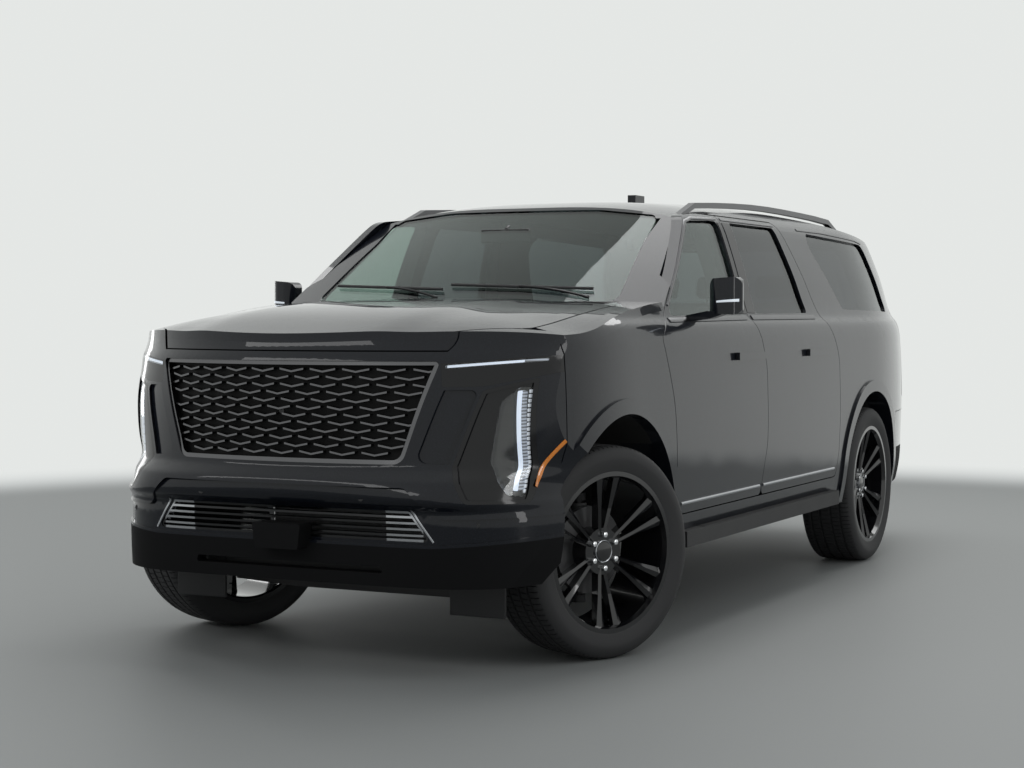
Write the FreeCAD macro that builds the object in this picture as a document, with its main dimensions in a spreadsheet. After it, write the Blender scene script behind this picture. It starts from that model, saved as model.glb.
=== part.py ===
"""A full-size sport utility vehicle with opening doors, bonnet and liftgate.

+Z is up, the front faces -Y and the vehicle's own left side is +X.
The origin is on the ground, midway between the nose and the tail.
"""

import FreeCAD, Part
import Sketcher

import math
import os

Vector = FreeCAD.Vector

# Driving sizes: alias, value in millimetres or degrees, and what it is
SIZES = (
    ("nose_y", -2895, "front of the grille"),
    ("tail_y", 2893, "back of the rear bumper"),
    ("front_axle_y", -1930, "front axle"),
    ("rear_axle_y", 1477, "rear axle"),
    ("wheel_plane_x", 870, "middle of each wheel, from the centre line"),
    ("kingpin_x", 800, "steering axis, from the centre line"),
    ("steer_angle", -22.4, "angle of the front wheels as parked"),
    ("tyre_radius", 419, "outer radius of a tyre"),
    ("tyre_width", 285, "widest part of a tyre"),
    ("tread_width", 236, "flat part of a tread"),
    ("bead_radius", 305, "where tyre and rim meet"),
    ("rim_width", 262, "width of a rim over its lips"),
    ("rim_wall", 14, "thickness of a rim's barrel"),
    ("spoke_count", 12, "spokes of a wheel, in pairs"),
    ("lip_width", 8, "lips of a rim outside the tyre"),
    ("bead_height", 16, "straight part of a tyre's side over its bead"),
    ("sidewall_height", 52, "widest point of a tyre over its bead"),
    ("shoulder_drop", 38, "upper end of a tyre's side under its tread"),
    ("spoke_spread", 9, "angle of each spoke of a pair from the pair's middle"),
    ("hub_radius", 92, "middle of a wheel"),
    ("spindle_radius", 38.95, "stub axle that carries a wheel"),
    ("spindle_fit", 0.06, "running clearance of pins and spindles"),
    ("sill_half_width", 1004, "half-width over the sills"),
    ("waist_half_width", 1020, "half-width at the waist"),
    ("shoulder_half_width", 1003, "half-width at the shoulder crease"),
    ("belt_half_width", 950, "half-width under the side windows"),
    ("cant_half_width", 795, "half-width over the side windows"),
    ("roof_half_width", 735, "half-width at the roof's edge"),
    ("sill_height", 470, "widest point of the sill"),
    ("waist_height", 850, "widest point of the doors"),
    ("shoulder_height", 1240, "shoulder crease"),
    ("belt_height", 1345, "under the side windows"),
    ("cant_height", 1785, "over the side windows"),
    ("roof_edge_height", 1842, "edge of the roof"),
    ("roof_height", 1912, "highest point of the roof panel"),
    ("bonnet_height", 1410, "bonnet at the windscreen"),
    ("bonnet_front_height", 1262, "bonnet over the grille"),
    ("bonnet_half_width", 838, "half-width of the bonnet"),
    ("dome_rise", 8, "rise of the bonnet's dome between its creases"),
    ("bonnet_rear_y", -1640, "rear edge of the bonnet"),
    ("bonnet_front_y", -2990, "plane in front of the bonnet's nose"),
    ("bonnet_low_height", 1216, "lower edge of the bonnet's nose"),
    ("bonnet_wall", 34, "thickness of the bonnet"),
    ("screen_low_y", -1560, "foot of the windscreen at the centre line"),
    ("screen_low_height", 1400, "foot of the windscreen"),
    ("screen_rise", 0.584, "rise of the windscreen for each millimetre back"),
    ("screen_bow", 0.249, "bow of the windscreen in plan, per metre"),
    ("gap", 5, "shut lines between panels"),
    ("lid_room", 2, "extra room round the bonnet and the liftgate, for their swing"),
    ("front_sweep", 121, "room in the front post for the front door's lower corner, from the hinge axis"),
    ("rear_sweep", 293, "room in the roof rail for the rear door's upper corner, from the hinge axis"),
    ("sweep_top", 1813, "top of that room in the roof rail"),
    ("seat_gap", 0.2, "clearance of a pane in its frame"),
    ("shut_slant", 0.3, "forward lean of the shut faces for each millimetre inboard"),
    ("door_wall", 105, "thickness of a door below the windows"),
    ("frame_wall", 45, "thickness of a window frame"),
    ("pillar_gap", 8, "between a door and the pillar behind it"),
    ("pillar_wall", 68, "depth of a pillar, the sill and the cant rail"),
    ("panel_wall", 40, "thickness of the fenders and the fascias"),
    ("glass_wall", 5, "thickness of a pane"),
    ("glass_inset", 14, "from the outer skin to a pane"),
    ("hinge_x", 990, "door hinge axes, from the centre line"),
    ("front_hinge_y", -1345, "front door hinge axis"),
    ("rear_hinge_y", -231, "rear door hinge axis"),
    ("pin_radius", 7, "hinge pins of the doors and lids"),
    ("pin_fit", 0.08, "clearance of a hinge pin in its bore"),
    ("leaf_height", 44, "height of a hinge leaf"),
    ("arch_radius", 512, "opening of the front wheel arches"),
    ("front_arch_y", -1948, "middle of the front arches"),
    ("front_arch_height", 446, "middle of the front arches"),
    ("rear_arch_radius", 496, "opening of the rear wheel arches"),
    ("rear_arch_y", 1464, "middle of the rear arches"),
    ("rear_arch_height", 432, "middle of the rear arches"),
    ("moulding_width", 62, "width of the arch mouldings"),
    ("moulding_depth", 12, "how far a moulding stands out"),
    ("sill_bottom", 362, "underside of the sills"),
    ("door_bottom", 512, "lower edge of the doors"),
    ("floor_height", 470, "underside of the cabin floor"),
    ("floor_wall", 30, "thickness of the floor"),
    ("load_floor_height", 650, "underside of the load floor"),
    ("rail_x", 410, "middle of the chassis rails, from the centre line"),
    ("rail_width", 80, "width of a chassis rail"),
    ("rail_depth", 125, "depth of a chassis rail"),
    ("engine_width", 580, "width of the engine block"),
    ("engine_length", 700, "length of the engine block"),
    ("engine_tall", 590, "height of the engine block"),
    ("engine_y", -2450, "front of the engine block"),
    ("engine_bottom", 520, "underside of the engine block"),
    ("mount_y", -2140, "front of the engine's cross mount"),
    ("mount_length", 80, "length of the engine's cross mount"),
    ("pipe_radius", 32, "exhaust pipe"),
    ("pipe_x", 190, "exhaust pipe, from the centre line"),
    ("pipe_height", 300, "middle of the exhaust pipe"),
    ("pipe_front_y", -1500, "front end of the exhaust pipe"),
    ("pipe_length", 2650, "length of the exhaust pipe"),
    ("hanger_width", 20, "width of an exhaust hanger"),
    ("seat_width", 520, "width of a single seat"),
    ("seat_x", 400, "middle of the single seats, from the centre line"),
    ("bench_width", 1180, "width of the third row's bench"),
    ("seat_base", 165, "height of a seat's base"),
    ("cushion_tall", 165, "thickness of a seat cushion"),
    ("cushion_length", 530, "length of a seat cushion"),
    ("back_wall", 150, "thickness of a seat's back"),
    ("back_tall", 640, "height of a seat's back with its head restraint"),
    ("back_lean", -18, "lean of a seat's back"),
    ("pad_width", 60, "width of a jacking pad"),
    ("pad_height", 8, "how far a jacking pad stands under its rail"),
    ("hitch_height", 340, "middle of the tow bar receiver"),
    ("hitch_socket", 51, "inner width of the tow bar receiver"),
    ("hitch_wall", 6.5, "wall of the tow bar receiver"),
    ("hitch_pin_radius", 8, "hole for the pin of a tow bar"),
    ("bumper_top", 790, "top of the rear bumper"),
    ("fascia_bottom", 350, "bottom of the front bumper"),
    ("fascia_step", 14, "depth of the cheeks and the dark band behind the front skin"),
    ("bezel_width", 14, "rim round a low lamp"),
    ("bezel_depth", 12, "depth of a low lamp's face behind its rim"),
    ("pocket_depth", 46, "depth of a low lamp's pocket behind the front skin"),
    ("grille_rim", 16, "width of the rim round the upper grille"),
    ("chevron_depth", 16, "front of the chevrons behind the front skin"),
    ("plate_front", 38, "front of the grille's back plate behind the front skin"),
    ("chevron_width", 100, "width of one chevron of the upper grille"),
    ("chevron_pitch", 127, "spacing of the chevrons in a row"),
    ("chevron_row", 27.5, "spacing of the rows of chevrons"),
    ("chevron_rise", 10, "height of a chevron's V"),
    ("chevron_bar", 7, "thickness of a chevron's bar"),
    ("lower_bar", 8, "thickness of a bar of the lower grille"),
    ("gate_hinge_y", 2150, "liftgate hinge axis"),
    ("gate_hinge_height", 1806, "liftgate hinge axis"),
    ("gate_slant", 0.5, "forward lean of the liftgate's shut face"),
    ("gate_wall", 88, "thickness of the liftgate below its window"),
    ("plate_depth", 24, "depth of the pocket for a plate in the liftgate"),
    ("bonnet_hinge_y", -1588, "bonnet hinge axis"),
    ("bonnet_hinge_height", 1366, "bonnet hinge axis"),
)

doc = FreeCAD.newDocument("sport_utility_vehicle")
sheet = doc.addObject("Spreadsheet::Sheet", "sizes")
for row, (alias, value, meaning) in enumerate(SIZES, start=1):
    sheet.set("A%d" % row, alias)
    sheet.set("B%d" % row, str(value))
    sheet.set("C%d" % row, meaning)
    sheet.setAlias("B%d" % row, alias)
doc.recompute()


def size(alias):
    """Value of a driving size."""
    return float(sheet.get(alias))


# Small tools for curves, outlines and solids


def smooth(pairs, at):
    """Value at a place on the smooth monotone curve through pairs of place and value."""
    places = [p for p, value in pairs]
    values = [value for p, value in pairs]
    if at <= places[0]:
        return values[0]
    if at >= places[-1]:
        return values[-1]
    steps = [b - a for a, b in zip(places, places[1:])]
    slopes = [(b - a) / step for a, b, step in zip(values, values[1:], steps)]
    tangents = [slopes[0]]
    for before, after in zip(slopes, slopes[1:]):
        turns = before * after <= 0
        tangents.append(0.0 if turns else 2 * before * after / (before + after))
    tangents.append(slopes[-1])
    i = max(n for n, place in enumerate(places[:-1]) if place <= at)
    share = (at - places[i]) / steps[i]
    low = (1 + 2 * share) * (1 - share) ** 2 * values[i]
    low += share * (1 - share) ** 2 * steps[i] * tangents[i]
    high = share**2 * (3 - 2 * share) * values[i + 1]
    high += share**2 * (share - 1) * steps[i] * tangents[i + 1]
    return low + high


def spread(low, high, count):
    """Evenly spaced places from low to high."""
    return [low + (high - low) * n / (count - 1) for n in range(count)]


def skin(rows):
    """Smooth face through rows of points."""
    surface = Part.BSplineSurface()
    surface.interpolate(rows)
    return surface.toShape()


def box(x0, x1, y0, y1, z0, z1):
    """Block between two corners."""
    return Part.makeBox(x1 - x0, y1 - y0, z1 - z0, Vector(x0, y0, z0))


def rod(radius, start, end):
    """Round bar between two points."""
    start = Vector(*start)
    run = Vector(*end) - start
    return Part.makeCylinder(radius, run.Length, start, run)


def rounded(corners, place):
    """Closed wire through corners (a, b, radius), set out by place(a, b)."""
    points = [place(a, b) for a, b, radius in corners]
    edges = []
    last = None
    first = None
    for n, (a, b, radius) in enumerate(corners):
        here = points[n]
        back = points[n - 1] - here
        ahead = points[(n + 1) % len(points)] - here
        half = back.getAngle(ahead) / 2
        reach = radius / math.tan(half)
        back.normalize()
        ahead.normalize()
        start = here + back * reach
        end = here + ahead * reach
        if last is not None and (start - last).Length > 1e-6:
            edges.append(Part.LineSegment(last, start).toShape())
        if radius > 0:
            middle = (back + ahead).normalize()
            centre = here + middle * (radius / math.sin(half))
            edges.append(Part.Arc(start, centre - middle * radius, end).toShape())
        if first is None:
            first = start
        last = end
    if (first - last).Length > 1e-6:
        edges.append(Part.LineSegment(last, first).toShape())
    return Part.Wire(edges)


def prism(wire, run):
    """Solid made by moving the area inside a wire along run."""
    return Part.Face(wire).extrude(Vector(*run))


def grown(corners, by):
    """Corners of an outline that lies outside another by a distance, or inside if it is negative."""
    spots = [(a, b) for a, b, radius in corners]
    area = sum(p[0] * q[1] - q[0] * p[1] for p, q in zip(spots, spots[1:] + spots[:1]))
    turn = 1 if area > 0 else -1
    result = []
    for n, (a, b, radius) in enumerate(corners):
        before = spots[n - 1]
        after = spots[(n + 1) % len(spots)]
        run_in = math.hypot(a - before[0], b - before[1])
        run_out = math.hypot(after[0] - a, after[1] - b)
        normal_in = ((b - before[1]) / run_in * turn, (before[0] - a) / run_in * turn)
        normal_out = ((after[1] - b) / run_out * turn, (a - after[0]) / run_out * turn)
        share = by / (1 + normal_in[0] * normal_out[0] + normal_in[1] * normal_out[1])
        bends_out = (normal_in[0] * normal_out[1] - normal_in[1] * normal_out[0]) * turn > 0
        new_radius = radius + by if bends_out else radius - by
        shift_a = (normal_in[0] + normal_out[0]) * share
        shift_b = (normal_in[1] + normal_out[1]) * share
        result.append((a + shift_a, b + shift_b, max(new_radius, 0.0)))
    return tuple(result)


def joined(shapes):
    """One solid of several that touch or overlap."""
    shapes = [s for s in shapes if s is not None]
    return shapes[0].fuse(shapes[1:]) if len(shapes) > 1 else shapes[0]


def less(shape, *cutters):
    """Shape with cutters taken out."""
    for cutter in cutters:
        shape = shape.cut(cutter)
    return shape


def mirrored(shape):
    """The same shape on the other side of the centre line."""
    return shape.mirror(Vector(0, 0, 0), Vector(1, 0, 0))


def both(shape):
    """A shape and its mirror image."""
    return [shape, mirrored(shape)]


def largest(shape, least=1000.0):
    """The shape's solids without crumbs smaller than least cubic millimetres."""
    solids = [s for s in shape.Solids if s.Volume > least]
    return solids[0] if len(solids) == 1 else Part.makeCompound(solids)


def greatest(shape):
    """The shape's largest solid."""
    return max(shape.Solids, key=lambda s: s.Volume)


NODES = []


def node(label, shape):
    """Sub-part of the vehicle, in a file of its own."""
    item = doc.addObject("Part::Feature", label)
    item.Label = label
    solid = largest(shape)
    item.Shape = solid
    item.Placement = solid.Placement
    NODES.append(item)
    return item


def pair(name, shape):
    """A left sub-part and its mirror image on the right."""
    node("left_" + name, shape)
    node("right_" + name, mirrored(shape))


def bound(kind, name, **rules):
    """Primitive whose sizes and corner follow rules on the sheet."""
    item = doc.addObject(kind, name)
    for key, rule in rules.items():
        item.setExpression(".Placement.Base." + key if key in "xyz" else key, rule)
    return item


def keep(item, label):
    """Makes a bound object a sub-part with a file of its own."""
    item.Label = label
    NODES.append(item)
    return item


def fused(name, parts):
    """Union of bound objects."""
    item = doc.addObject("Part::MultiFuse", name)
    item.Shapes = parts
    return item


def grouped(name, parts):
    """Bound objects that stand apart in one sub-part."""
    item = doc.addObject("Part::Compound", name)
    item.Links = parts
    return item


# Body forms: half-width, tops and ends as functions of place

REACH_X = 1180
LOW_Z = 90
HIGH_Z = 1980

SECTION = (
    (LOW_Z, size("sill_half_width") - 60),
    (size("sill_bottom"), size("sill_half_width") - 22),
    (size("sill_height"), size("sill_half_width")),
    (size("waist_height"), size("waist_half_width")),
    (size("shoulder_height") - 150, size("waist_half_width") - 6),
    (size("shoulder_height"), size("shoulder_half_width")),
    ((size("shoulder_height") + size("belt_height")) / 2 + 8, size("belt_half_width") + 33),
    (size("belt_height"), size("belt_half_width")),
    ((size("belt_height") + size("cant_height")) / 2, size("belt_half_width") - 66),
    (size("cant_height"), size("cant_half_width")),
    (size("roof_edge_height"), size("roof_half_width")),
    (HIGH_Z, size("roof_half_width") - 150),
)


def half_width(y, z):
    """Half-width of the body at a place along it and a height."""
    ahead = max(0.0, size("front_axle_y") + 30 - y) / 1000
    behind = max(0.0, y - size("rear_axle_y") - 20) / 1000
    return smooth(SECTION, z) - 268 * ahead**2.5 - 126 * behind**2.2


def bonnet_top(x, y):
    """Height of the bonnet and fender tops."""
    front = size("nose_y")
    low = size("bonnet_front_height")
    high = size("bonnet_height")
    rise = high - low
    line = (
        (front - 200, low - 45),
        (front, low),
        (front + 190, low + 0.31 * rise),
        (front + 394, low + 0.61 * rise),
        (front + 736, low + 0.85 * rise),
        (front + 1291, high),
        (0, high + 14),
    )
    fall = smooth(((-2250, 66), (-1650, 24), (-1372, 9)), y)
    dome = size("dome_rise") * smooth(((350, 1.0), (400, 0.85), (500, 0.1), (600, 0.0)), abs(x))
    return smooth(line, y) + dome - fall * (abs(x) / 840) ** 3


def roof_top(x, y):
    """Height of the roof panel."""
    high = size("roof_height")
    line = (
        (-1300, high - 175),
        (-820, high - 74),
        (-400, high - 26),
        (500, high),
        (1296, high - 12),
        (1779, high - 36),
        (2070, high - 62),
        (2205, high - 80),
        (2450, high - 122),
        (2800, high - 200),
    )
    return smooth(line, y) - 58 * (abs(x) / 720) ** 3


def screen_face(x, z):
    """Place along the body of the windscreen's outer face."""
    up = z - size("screen_low_height")
    bow = size("screen_bow") * x * x / 1000
    return size("screen_low_y") + up / size("screen_rise") + bow - 18 * math.sin(math.pi * up / 440)


NOSE_LINE = (
    (LOW_Z, 140),
    (304, 92),
    (471, 78),
    (627, 64),
    (655, 24),
    (690, 2),
    (718, 2),
    (745, 10),
    (790, 40),
    (850, 34),
    (1000, 16),
    (1100, 6),
    (1180, 4),
    (1212, 19),
    (1264, 33),
    (1400, 80),
    (1500, 115),
)
NOSE_BOW = (
    (LOW_Z, 10),
    (560, 20),
    (640, 40),
    (718, 118),
    (807, 234),
    (1000, 330),
    (1178, 415),
    (1274, 430),
)
NOSE_WRAP = (
    (LOW_Z, 480),
    (611, 500),
    (690, 620),
    (800, 350),
    (900, 220),
    (1073, 139),
    (1189, 125),
    (1500, 120),
)


def nose_face(x, z):
    """Place along the body of the front face, with its bow in plan and its wrap at the corners."""
    out = abs(x) / 1000
    ahead = size("nose_y") + smooth(NOSE_LINE, z)
    return ahead + smooth(NOSE_BOW, z) * out**2 + smooth(NOSE_WRAP, z) * out**7


def tail_face(x, z):
    """Place along the body of the rear face."""
    line = (
        (LOW_Z, -300),
        (300, -230),
        (430, -90),
        (560, -12),
        (700, 0),
        (790, -22),
        (850, -120),
        (1021, -148),
        (1165, -172),
        (1301, -186),
        (1400, -280),
        (1550, -398),
        (1747, -560),
        (HIGH_Z, -800),
    )
    out = abs(x) / 1000
    return size("tail_y") + smooth(line, z) - 200 * out**2 - 250 * out**10


def door_depth(z):
    """Thickness of a door at a height."""
    return smooth(
        (
            (size("shoulder_height") - 20, size("door_wall")),
            (size("belt_height") + 10, size("frame_wall")),
        ),
        z,
    )


SIDE_ROWS = (
    LOW_Z, 230, 362, 470, 640, 850, 1000, 1110, 1190, 1240, 1272, 1305, 1335, 1365,
    1420, 1500, 1600, 1700, 1785, 1815, 1842, 1890, HIGH_Z,
)


def side_rows(depth):
    """Rows of points on the left skin moved in by depth(z)."""
    stations = spread(-3000, 3000, 25)
    return [[Vector(half_width(y, z) - depth(z), y, z) for z in SIDE_ROWS] for y in stations]


def inside_side(depth):
    """Solid of all that is inboard of the left skin moved in by depth(z)."""
    return skin(side_rows(depth)).extrude(Vector(-REACH_X - 700, 0, 0))


def slab(rows_a, rows_b):
    """Solid between two smooth faces with like borders."""
    face_a = skin(rows_a)
    face_b = skin(rows_b)
    walls = [Part.makeRuledSurface(a, b) for a, b in zip(face_a.Edges, face_b.Edges)]
    shell = Part.Shell([face_a, face_b] + walls)
    shell.sewShape()
    solid = Part.Solid(shell)
    if solid.Volume < 0:
        solid.reverse()
    return solid


def side_layer(depth_out, depth_in):
    """Solid between two faces that follow the left skin."""
    return slab(side_rows(depth_out), side_rows(depth_in))


ACROSS = [n * 100 for n in range(-12, 13)]
CORNERS = (-1180, -1090, -1030, -980, -930, -870, -800, -700, -550, -380, -190)
ROUND_ACROSS = list(CORNERS) + [0] + [-x for x in reversed(CORNERS)]


def top_rows(top, low_y, high_y, drop=0.0):
    """Rows of points on a top face moved down by drop."""
    return [[Vector(x, y, top(x, y) - drop) for y in spread(low_y, high_y, 22)] for x in ACROSS]


def under_top(top, low_y, high_y, drop=0.0):
    """Solid of all that is under a top face moved down by drop."""
    return skin(top_rows(top, low_y, high_y, drop)).extrude(Vector(0, 0, -2500))


def face_rows(face, heights, shift=0.0):
    """Rows of points on a front or rear face moved back by shift."""
    return [[Vector(x, face(x, z) + shift, z) for z in heights] for x in ROUND_ACROSS]


def behind_face(face, heights, shift=0.0):
    """Solid of all that is behind a front face moved back by shift."""
    return skin(face_rows(face, heights, shift)).extrude(Vector(0, 7000, 0))


def ahead_of_face(face, heights, shift=0.0):
    """Solid of all that is ahead of a rear face moved back by shift."""
    return skin(face_rows(face, heights, shift)).extrude(Vector(0, -7000, 0))


NOSE_ROWS = (
    LOW_Z, 200, 304, 390, 471, 550, 600, 627, 641, 655, 672, 690, 718, 745, 767, 790, 820,
    850, 900, 950, 1000, 1050, 1100, 1140, 1180, 1212, 1264, 1330, 1400, 1500,
)
TAIL_ROWS = (
    LOW_Z, 200, 300, 365, 430, 500, 560, 630, 700, 750, 790, 820, 850, 930, 1021, 1165,
    1240, 1301, 1350, 1400, 1475, 1550, 1650, 1747, 1850, HIGH_Z,
)
SCREEN_ROWS = spread(1200, HIGH_Z, 12)


def flat(depth):
    """The same depth at every height."""
    return lambda z: depth


def pillar_depth(z):
    """Depth of the pillars' faces behind the doors."""
    return door_depth(z) + size("pillar_gap")


def post_depth(z):
    """Depth of the pillars' inner faces."""
    return pillar_depth(z) + size("pillar_wall")


skin_side = inside_side(flat(0.0))
door_layer = side_layer(flat(0.0), door_depth)
post_layer = side_layer(flat(0.0), post_depth)
room_layer = side_layer(flat(-40.0), pillar_depth)
bonnet_form = under_top(bonnet_top, -3100, 400)
bonnet_layer = slab(top_rows(bonnet_top, -3100, 400), top_rows(bonnet_top, -3100, 400, size("bonnet_wall")))
roof_form = under_top(roof_top, -1700, 2800)
roof_layer = slab(top_rows(roof_top, -1700, 2800), top_rows(roof_top, -1700, 2800, 32))
nose_form = behind_face(nose_face, NOSE_ROWS)
nose_layer = slab(face_rows(nose_face, NOSE_ROWS), face_rows(nose_face, NOSE_ROWS, 60))
screen_form = behind_face(screen_face, SCREEN_ROWS)
tail_form = ahead_of_face(tail_face, TAIL_ROWS)
tail_layer = slab(face_rows(tail_face, TAIL_ROWS), face_rows(tail_face, TAIL_ROWS, -60))
gate_layer = slab(face_rows(tail_face, TAIL_ROWS), face_rows(tail_face, TAIL_ROWS, -size("gate_wall")))


def across_sides(x0, x1, y0, y1, z0, z1):
    """The part of a block that lies between the two skins."""
    half = box(0, x1, y0, y1, z0, z1).common(skin_side)
    return joined(both(half))



# Shut lines of the doors, drawn on a plane outside the body and run inboard along a slant

DRAW_X = 1150
RUN_IN = 620


def on_skin(x, y, z, radius=0.0):
    """Corner of a shut line, from where it lies on the skin."""
    return (y + size("shut_slant") * (DRAW_X - x), z, radius)


def side_place(y, z):
    """Point of a side outline."""
    return Vector(DRAW_X, y, z)


def slanted(wire):
    """Solid behind an outline of a door, with slanted shut faces."""
    return prism(wire, (-RUN_IN, -RUN_IN * size("shut_slant"), 0))


FRONT_DOOR = (
    on_skin(1008, -1386, size("door_bottom"), 40),
    on_skin(1010, -1399, 600, 300),
    on_skin(1020, -1439, 985, 500),
    on_skin(1003, -1540, 1250, 30),
    on_skin(968, -1425, 1322, 60),
    on_skin(800, -812, 1792, 150),
    on_skin(795, -600, 1808, 200),
    on_skin(795, -346, 1808, 8),
    on_skin(955, -384, 1352, 60),
    on_skin(1018, -281, 1110, 200),
    on_skin(1018, -281, 740, 200),
    on_skin(1008, -366, size("door_bottom"), 30),
)
REAR_DOOR = (
    on_skin(1008, -361, size("door_bottom"), 30),
    on_skin(1018, -276, 740, 200),
    on_skin(1018, -276, 1110, 200),
    on_skin(955, -379, 1352, 60),
    on_skin(795, -341, 1808, 8),
    on_skin(795, 470, 1808, 60),
    on_skin(950, 700, 1350, 200),
    on_skin(1012, 853, 1140, 200),
    on_skin(1018, 853, 640, 60),
    on_skin(1008, 800, size("door_bottom"), 40),
)
FRONT_WINDOW = (
    (-1362, 1342, 18),
    (-790, 1768, 90),
    (-500, 1780, 20),
    (-400, 1780, 20),
    (-440, 1350, 20),
)
REAR_WINDOW = (
    (-252, 1352, 20),
    (-228, 1780, 20),
    (398, 1780, 20),
    (520, 1355, 20),
)
QUARTER_WINDOW = (
    (1150, 1376, 20),
    (800, 1774, 60),
    (1945, 1742, 120),
    (2142, 1362, 30),
)

front_wire = rounded(FRONT_DOOR, side_place)
rear_wire = rounded(REAR_DOOR, side_place)
front_door_prism = slanted(front_wire)
rear_door_prism = slanted(rear_wire)
front_opening = slanted(rounded(grown(FRONT_DOOR, size("gap")), side_place))
rear_opening = slanted(rounded(grown(REAR_DOOR, size("gap")), side_place))


def window_prism(corners, shrink=0.0):
    """Solid through a side window, along X."""
    return prism(rounded(grown(corners, -shrink), side_place), (-RUN_IN, 0, 0))


def side_pane(corners):
    """Pane of a side window, between two faces that follow the skin."""
    return window_prism(corners, size("seat_gap")).common(pane_layer)


pane_layer = side_layer(flat(size("glass_inset")), flat(size("glass_inset") + size("glass_wall")))

# Hinges: a pin on a goose-neck leaf that is fixed to the body, in a notch of the door

LEAF_ARM = 115
LEAF_BACK = 95
LEAF_HALF = 6


def door_leaf(y, z, ahead):
    """Hinge leaf with its pin, on the left, running forward to its post."""
    x = size("hinge_x")
    half = size("leaf_height") / 2
    arm = box(x - LEAF_ARM, x, y - LEAF_HALF, y + LEAF_HALF, z - half, z + half)
    neck = box(x - LEAF_ARM, x - LEAF_BACK, y - ahead, y + LEAF_HALF, z - half, z + half)
    eye = Part.makeCylinder(size("pin_radius") + 3, 2 * half, Vector(x, y, z - half))
    pin = Part.makeCylinder(size("pin_radius"), 2 * half + 50, Vector(x, y, z - half - 25))
    return joined([arm, neck, eye, pin])


def door_notch(y, z):
    """Room for a hinge leaf in a door, with the bore of its pin."""
    x = size("hinge_x")
    half = size("leaf_height") / 2 + size("gap")
    room = box(x - 300, x + 12, y - 300, y + 12, z - half, z + half)
    bore = Part.makeCylinder(size("pin_radius") + size("pin_fit"), 2 * half + 46, Vector(x, y, z - half - 23))
    return [room, bore]


FRONT_HINGE_HEIGHTS = (680, 980)
REAR_HINGE_HEIGHTS = (760, 1060)



def handle(y, z):
    """Door handle on the left."""
    x = half_width(y, z)
    bar = box(x + 6, x + 22, y - 175, y + 175, z - 17, z + 17)
    feet = [box(x - 20, x + 8, y + s * 150 - 14, y + s * 150 + 14, z - 12, z + 12) for s in (-1, 1)]
    return joined([bar] + feet)


front_cut = [c for z in FRONT_HINGE_HEIGHTS for c in door_notch(size("front_hinge_y"), z)]
rear_cut = [c for z in REAR_HINGE_HEIGHTS for c in door_notch(size("rear_hinge_y"), z)]
front_slab = front_door_prism.common(door_layer)
rear_slab = rear_door_prism.common(door_layer)
front_door = less(front_slab, window_prism(FRONT_WINDOW), *front_cut)
rear_door = less(rear_slab, window_prism(REAR_WINDOW), *rear_cut)
pair("front_door", joined([front_door, handle(-527, 1160)]))
pair("rear_door", joined([rear_door, handle(485, 1160)]))
pair("front_door_window", side_pane(FRONT_WINDOW))
pair("rear_door_window", side_pane(REAR_WINDOW))
node("quarter_windows", Part.makeCompound(both(side_pane(QUARTER_WINDOW))))

# Mirrors on the front doors

MIRROR_PLAN = (
    (1046, -1060, 14),
    (1046, -1122, 24),
    (1078, -1158, 40),
    (1150, -1146, 50),
    (1186, -1096, 26),
    (1180, -1060, 14),
)
MIRROR_FRONT = (
    (1046, 1352, 24),
    (1170, 1346, 30),
    (1187, 1372, 30),
    (1184, 1488, 30),
    (1164, 1508, 24),
    (1062, 1500, 30),
    (1046, 1470, 30),
)
mirror_head = prism(rounded(MIRROR_PLAN, lambda x, y: Vector(x, y, 1300)), (0, 0, 300))
mirror_head = mirror_head.common(prism(rounded(MIRROR_FRONT, lambda x, z: Vector(x, -1300, z)), (0, 400, 0)))
mirror_recess = prism(rounded(grown(MIRROR_FRONT, -9), lambda x, z: Vector(x, -1068, z)), (0, 40, 0))
mirror_head = mirror_head.cut(mirror_recess)
MIRROR_ARM = (
    (930, 1312, 8),
    (1060, 1330, 30),
    (1110, 1346, 4),
    (1110, 1362, 4),
    (1046, 1362, 20),
    (930, 1340, 8),
)
mirror_arm = prism(rounded(MIRROR_ARM, lambda x, z: Vector(x, -1152, z)), (0, 66, 0))
mirror = greatest(less(joined([mirror_head, mirror_arm]), front_slab))
pair("mirror", mirror)

# Roof, windscreen and the body's sides

ROOF_SEAM = 688
GATE_SEAM_Y = size("gate_hinge_y") - 45


def gate_cutter(shift):
    """All behind the liftgate's slanted shut face, moved back by shift."""
    low = 1600
    high = 2100
    lean = size("gate_slant")
    top_skin = roof_top(450, GATE_SEAM_Y)
    points = [
        Vector(-1300, GATE_SEAM_Y + shift + lean * (low - top_skin), low),
        Vector(-1300, GATE_SEAM_Y + shift + lean * (high - top_skin), high),
        Vector(-1300, 3200, high),
        Vector(-1300, 3200, low),
    ]
    return prism(Part.makePolygon(points + points[:1]), (2600, 0, 0))


def rear_place(x, z):
    """Point of an outline seen from behind."""
    return Vector(x, 1900, z)


GATE = (
    (-700, size("bumper_top") + 8, 60),
    (700, size("bumper_top") + 8, 60),
    (770, 1180, 60),
    (742, 1400, 200),
    (640, 2050, 0.5),
    (-640, 2050, 0.5),
    (-742, 1400, 200),
    (-770, 1180, 60),
)
gate_prism = prism(rounded(GATE, rear_place), (0, 1200, 0))
gate_room_prism = prism(rounded(grown(GATE, size("gap") + size("lid_room")), rear_place), (0, 1200, 0))
gate_limit = joined([gate_cutter(0), box(-1300, 1300, 2000, 3200, 0, 1600)])
gate_room_limit = joined([gate_cutter(-size("gap")), box(-1300, 1300, 1995, 3200, 0, 1600)])


SCREEN = (
    (-745, 1402, 30),
    (745, 1402, 30),
    (664, 1796, 40),
    (380, 1826, 600),
    (-380, 1826, 600),
    (-664, 1796, 40),
)


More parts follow.
